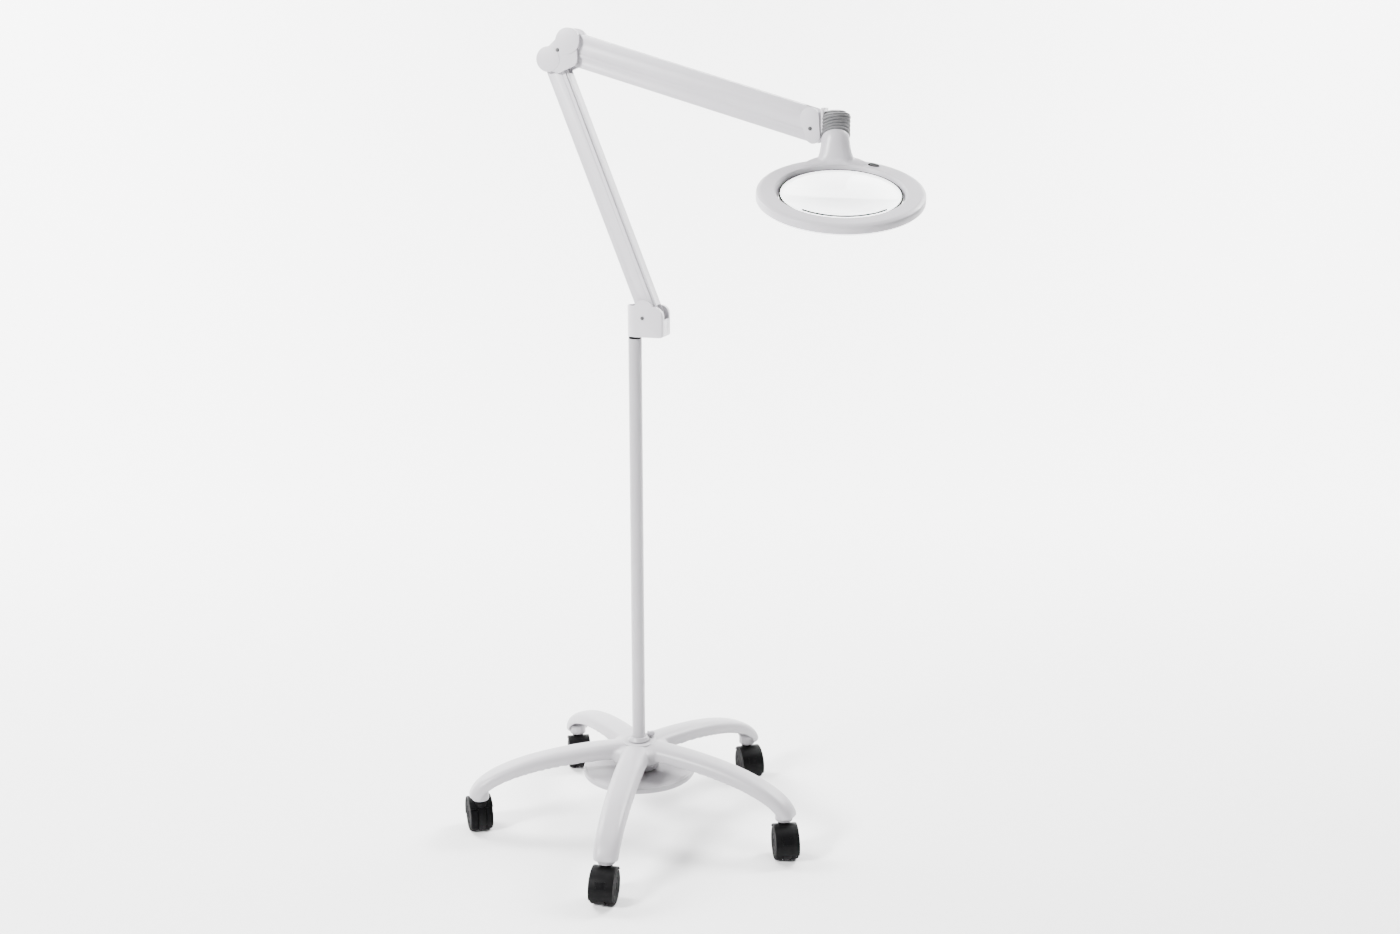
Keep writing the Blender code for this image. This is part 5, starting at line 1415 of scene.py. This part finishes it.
SWEEP_FRONT, SWEEP_BACK = -14.0, 3.2
SWEEP_TOP, SWEEP_BEND, SWEEP_HALF = 5.0, 1.4, 14.0
WORLD_LEVEL = 0.40
KEY_POWER, TOP_POWER, BACKDROP_POWER = 410.0, 35.0, 520.0
CAMERA_LENS = 39.69
CAMERA_PLACE = (0.0924, -2.1786, 1.0713)
CAMERA_DIP = radians(13.307)  # below level


def add_light(name, place, target, size, power):
    """A round soft light that looks at a target."""
    data = bpy.data.lights.new(name, "AREA")
    data.shape = "DISK"
    data.size = size
    data.energy = power
    light = bpy.data.objects.new(name, data)
    bpy.context.scene.collection.objects.link(light)
    light.location = place
    light.rotation_euler = (Vector(target) - Vector(place)).to_track_quat("-Z", "Y").to_euler()


class LAMP_OT_stage(bpy.types.Operator):
    """Pale floor that sweeps up behind, soft lights and the camera"""

    bl_idname = "lamp.stage"
    bl_label = "Stage"

    def execute(self, context):
        scene = context.scene
        shape = bmesh.new()
        profile = rounded(
            [(SWEEP_FRONT, 0.0, 0), (SWEEP_BACK, 0.0, SWEEP_BEND), (SWEEP_BACK, SWEEP_TOP, 0)], 16
        )
        corners = [shape.verts.new((-SWEEP_HALF, point[0], point[1])) for point in profile]
        edges = [shape.edges.new(pair) for pair in zip(corners, corners[1:])]
        made = bmesh.ops.extrude_edge_only(shape, edges=edges)["geom"]
        moved = [item for item in made if isinstance(item, bmesh.types.BMVert)]
        bmesh.ops.translate(shape, verts=moved, vec=(2 * SWEEP_HALF, 0, 0))
        floor = as_object(shape, "studio_sweep")
        paper = Finish("studio_paper", {"Roughness": 0.9})
        fibre = paper.noise(60.0, 4.0)
        paper.give("Base Color", paper.mix(fibre, (0.86, 0.86, 0.86), (0.89, 0.89, 0.89)))
        floor.data.materials.append(paper.material)
        floor.data.shade_smooth()

        world = bpy.data.worlds.new("studio")
        scene.world = world
        world.use_nodes = True
        background = world.node_tree.nodes["Background"]
        background.inputs["Color"].default_value = (1.0, 1.0, 1.0, 1.0)
        background.inputs["Strength"].default_value = WORLD_LEVEL
        add_light("key", (-2.7, -2.3, 2.5), (0.05, 0, 0.6), 1.0, KEY_POWER)
        add_light("top", (0.3, -0.4, 3.4), (0.1, 0, 0.5), 1.6, TOP_POWER)
        add_light("backdrop_left", (-2.6, 1.6, 3.0), (-1.0, 3.2, 0.6), 2.0, BACKDROP_POWER)
        add_light("backdrop_right", (2.6, 1.6, 3.0), (1.0, 3.2, 0.6), 2.0, BACKDROP_POWER)

        camera_data = bpy.data.cameras.new("camera")
        camera_data.lens = CAMERA_LENS
        camera_data.sensor_width = 36.0
        camera = bpy.data.objects.new("camera", camera_data)
        scene.collection.objects.link(camera)
        camera.location = CAMERA_PLACE
        camera.rotation_euler = (pi / 2 - CAMERA_DIP, 0.0, 0.0)
        scene.camera = camera
        return {"FINISHED"}


# --- Panel and registration ------------------------------------------------------------------

OPERATORS = (
    LAMP_OT_stage,
    LAMP_OT_star_base,
    LAMP_OT_weight,
    LAMP_OT_column,
    LAMP_OT_castors,
    LAMP_OT_arm_shells,
    LAMP_OT_arm_fittings,
    LAMP_OT_boot,
    LAMP_OT_head_housing,
    LAMP_OT_lens,
    LAMP_OT_light,
    LAMP_OT_switch,
)


class LAMP_PT_builder(bpy.types.Panel):
    """Lists the lamp's settings and pieces"""

    bl_idname = "LAMP_PT_builder"
    bl_label = "Magnifying Lamp"
    bl_space_type = "VIEW_3D"
    bl_region_type = "UI"
    bl_category = "Lamp"

    def draw(self, context):
        for group in (context.scene.lamp_sizes, context.scene.lamp_colours):
            box = self.layout.box()
            for name in group.bl_rna.properties.keys():
                if name not in ("name", "rna_type"):
                    box.prop(group, name)
        for operator in OPERATORS:
            self.layout.operator(operator.bl_idname)


CLASSES = (LampSizes, LampColours, *OPERATORS, LAMP_PT_builder)


def register():
    for each in CLASSES:
        bpy.utils.register_class(each)
    bpy.types.Scene.lamp_sizes = bpy.props.PointerProperty(type=LampSizes)
    bpy.types.Scene.lamp_colours = bpy.props.PointerProperty(type=LampColours)


def unregister():
    del bpy.types.Scene.lamp_colours
    del bpy.types.Scene.lamp_sizes
    for each in reversed(CLASSES):
        bpy.utils.unregister_class(each)


def build(operator):
    """Runs one of the lamp's operators by its name."""
    return getattr(bpy.ops.lamp, operator.bl_idname.split(".")[1])()


def main():
    register()
    for operator in OPERATORS:
        if build(operator) != {"FINISHED"}:
            raise RuntimeError(f"{operator.bl_label} wasn't finished")


if __name__ == "__main__":
    main()
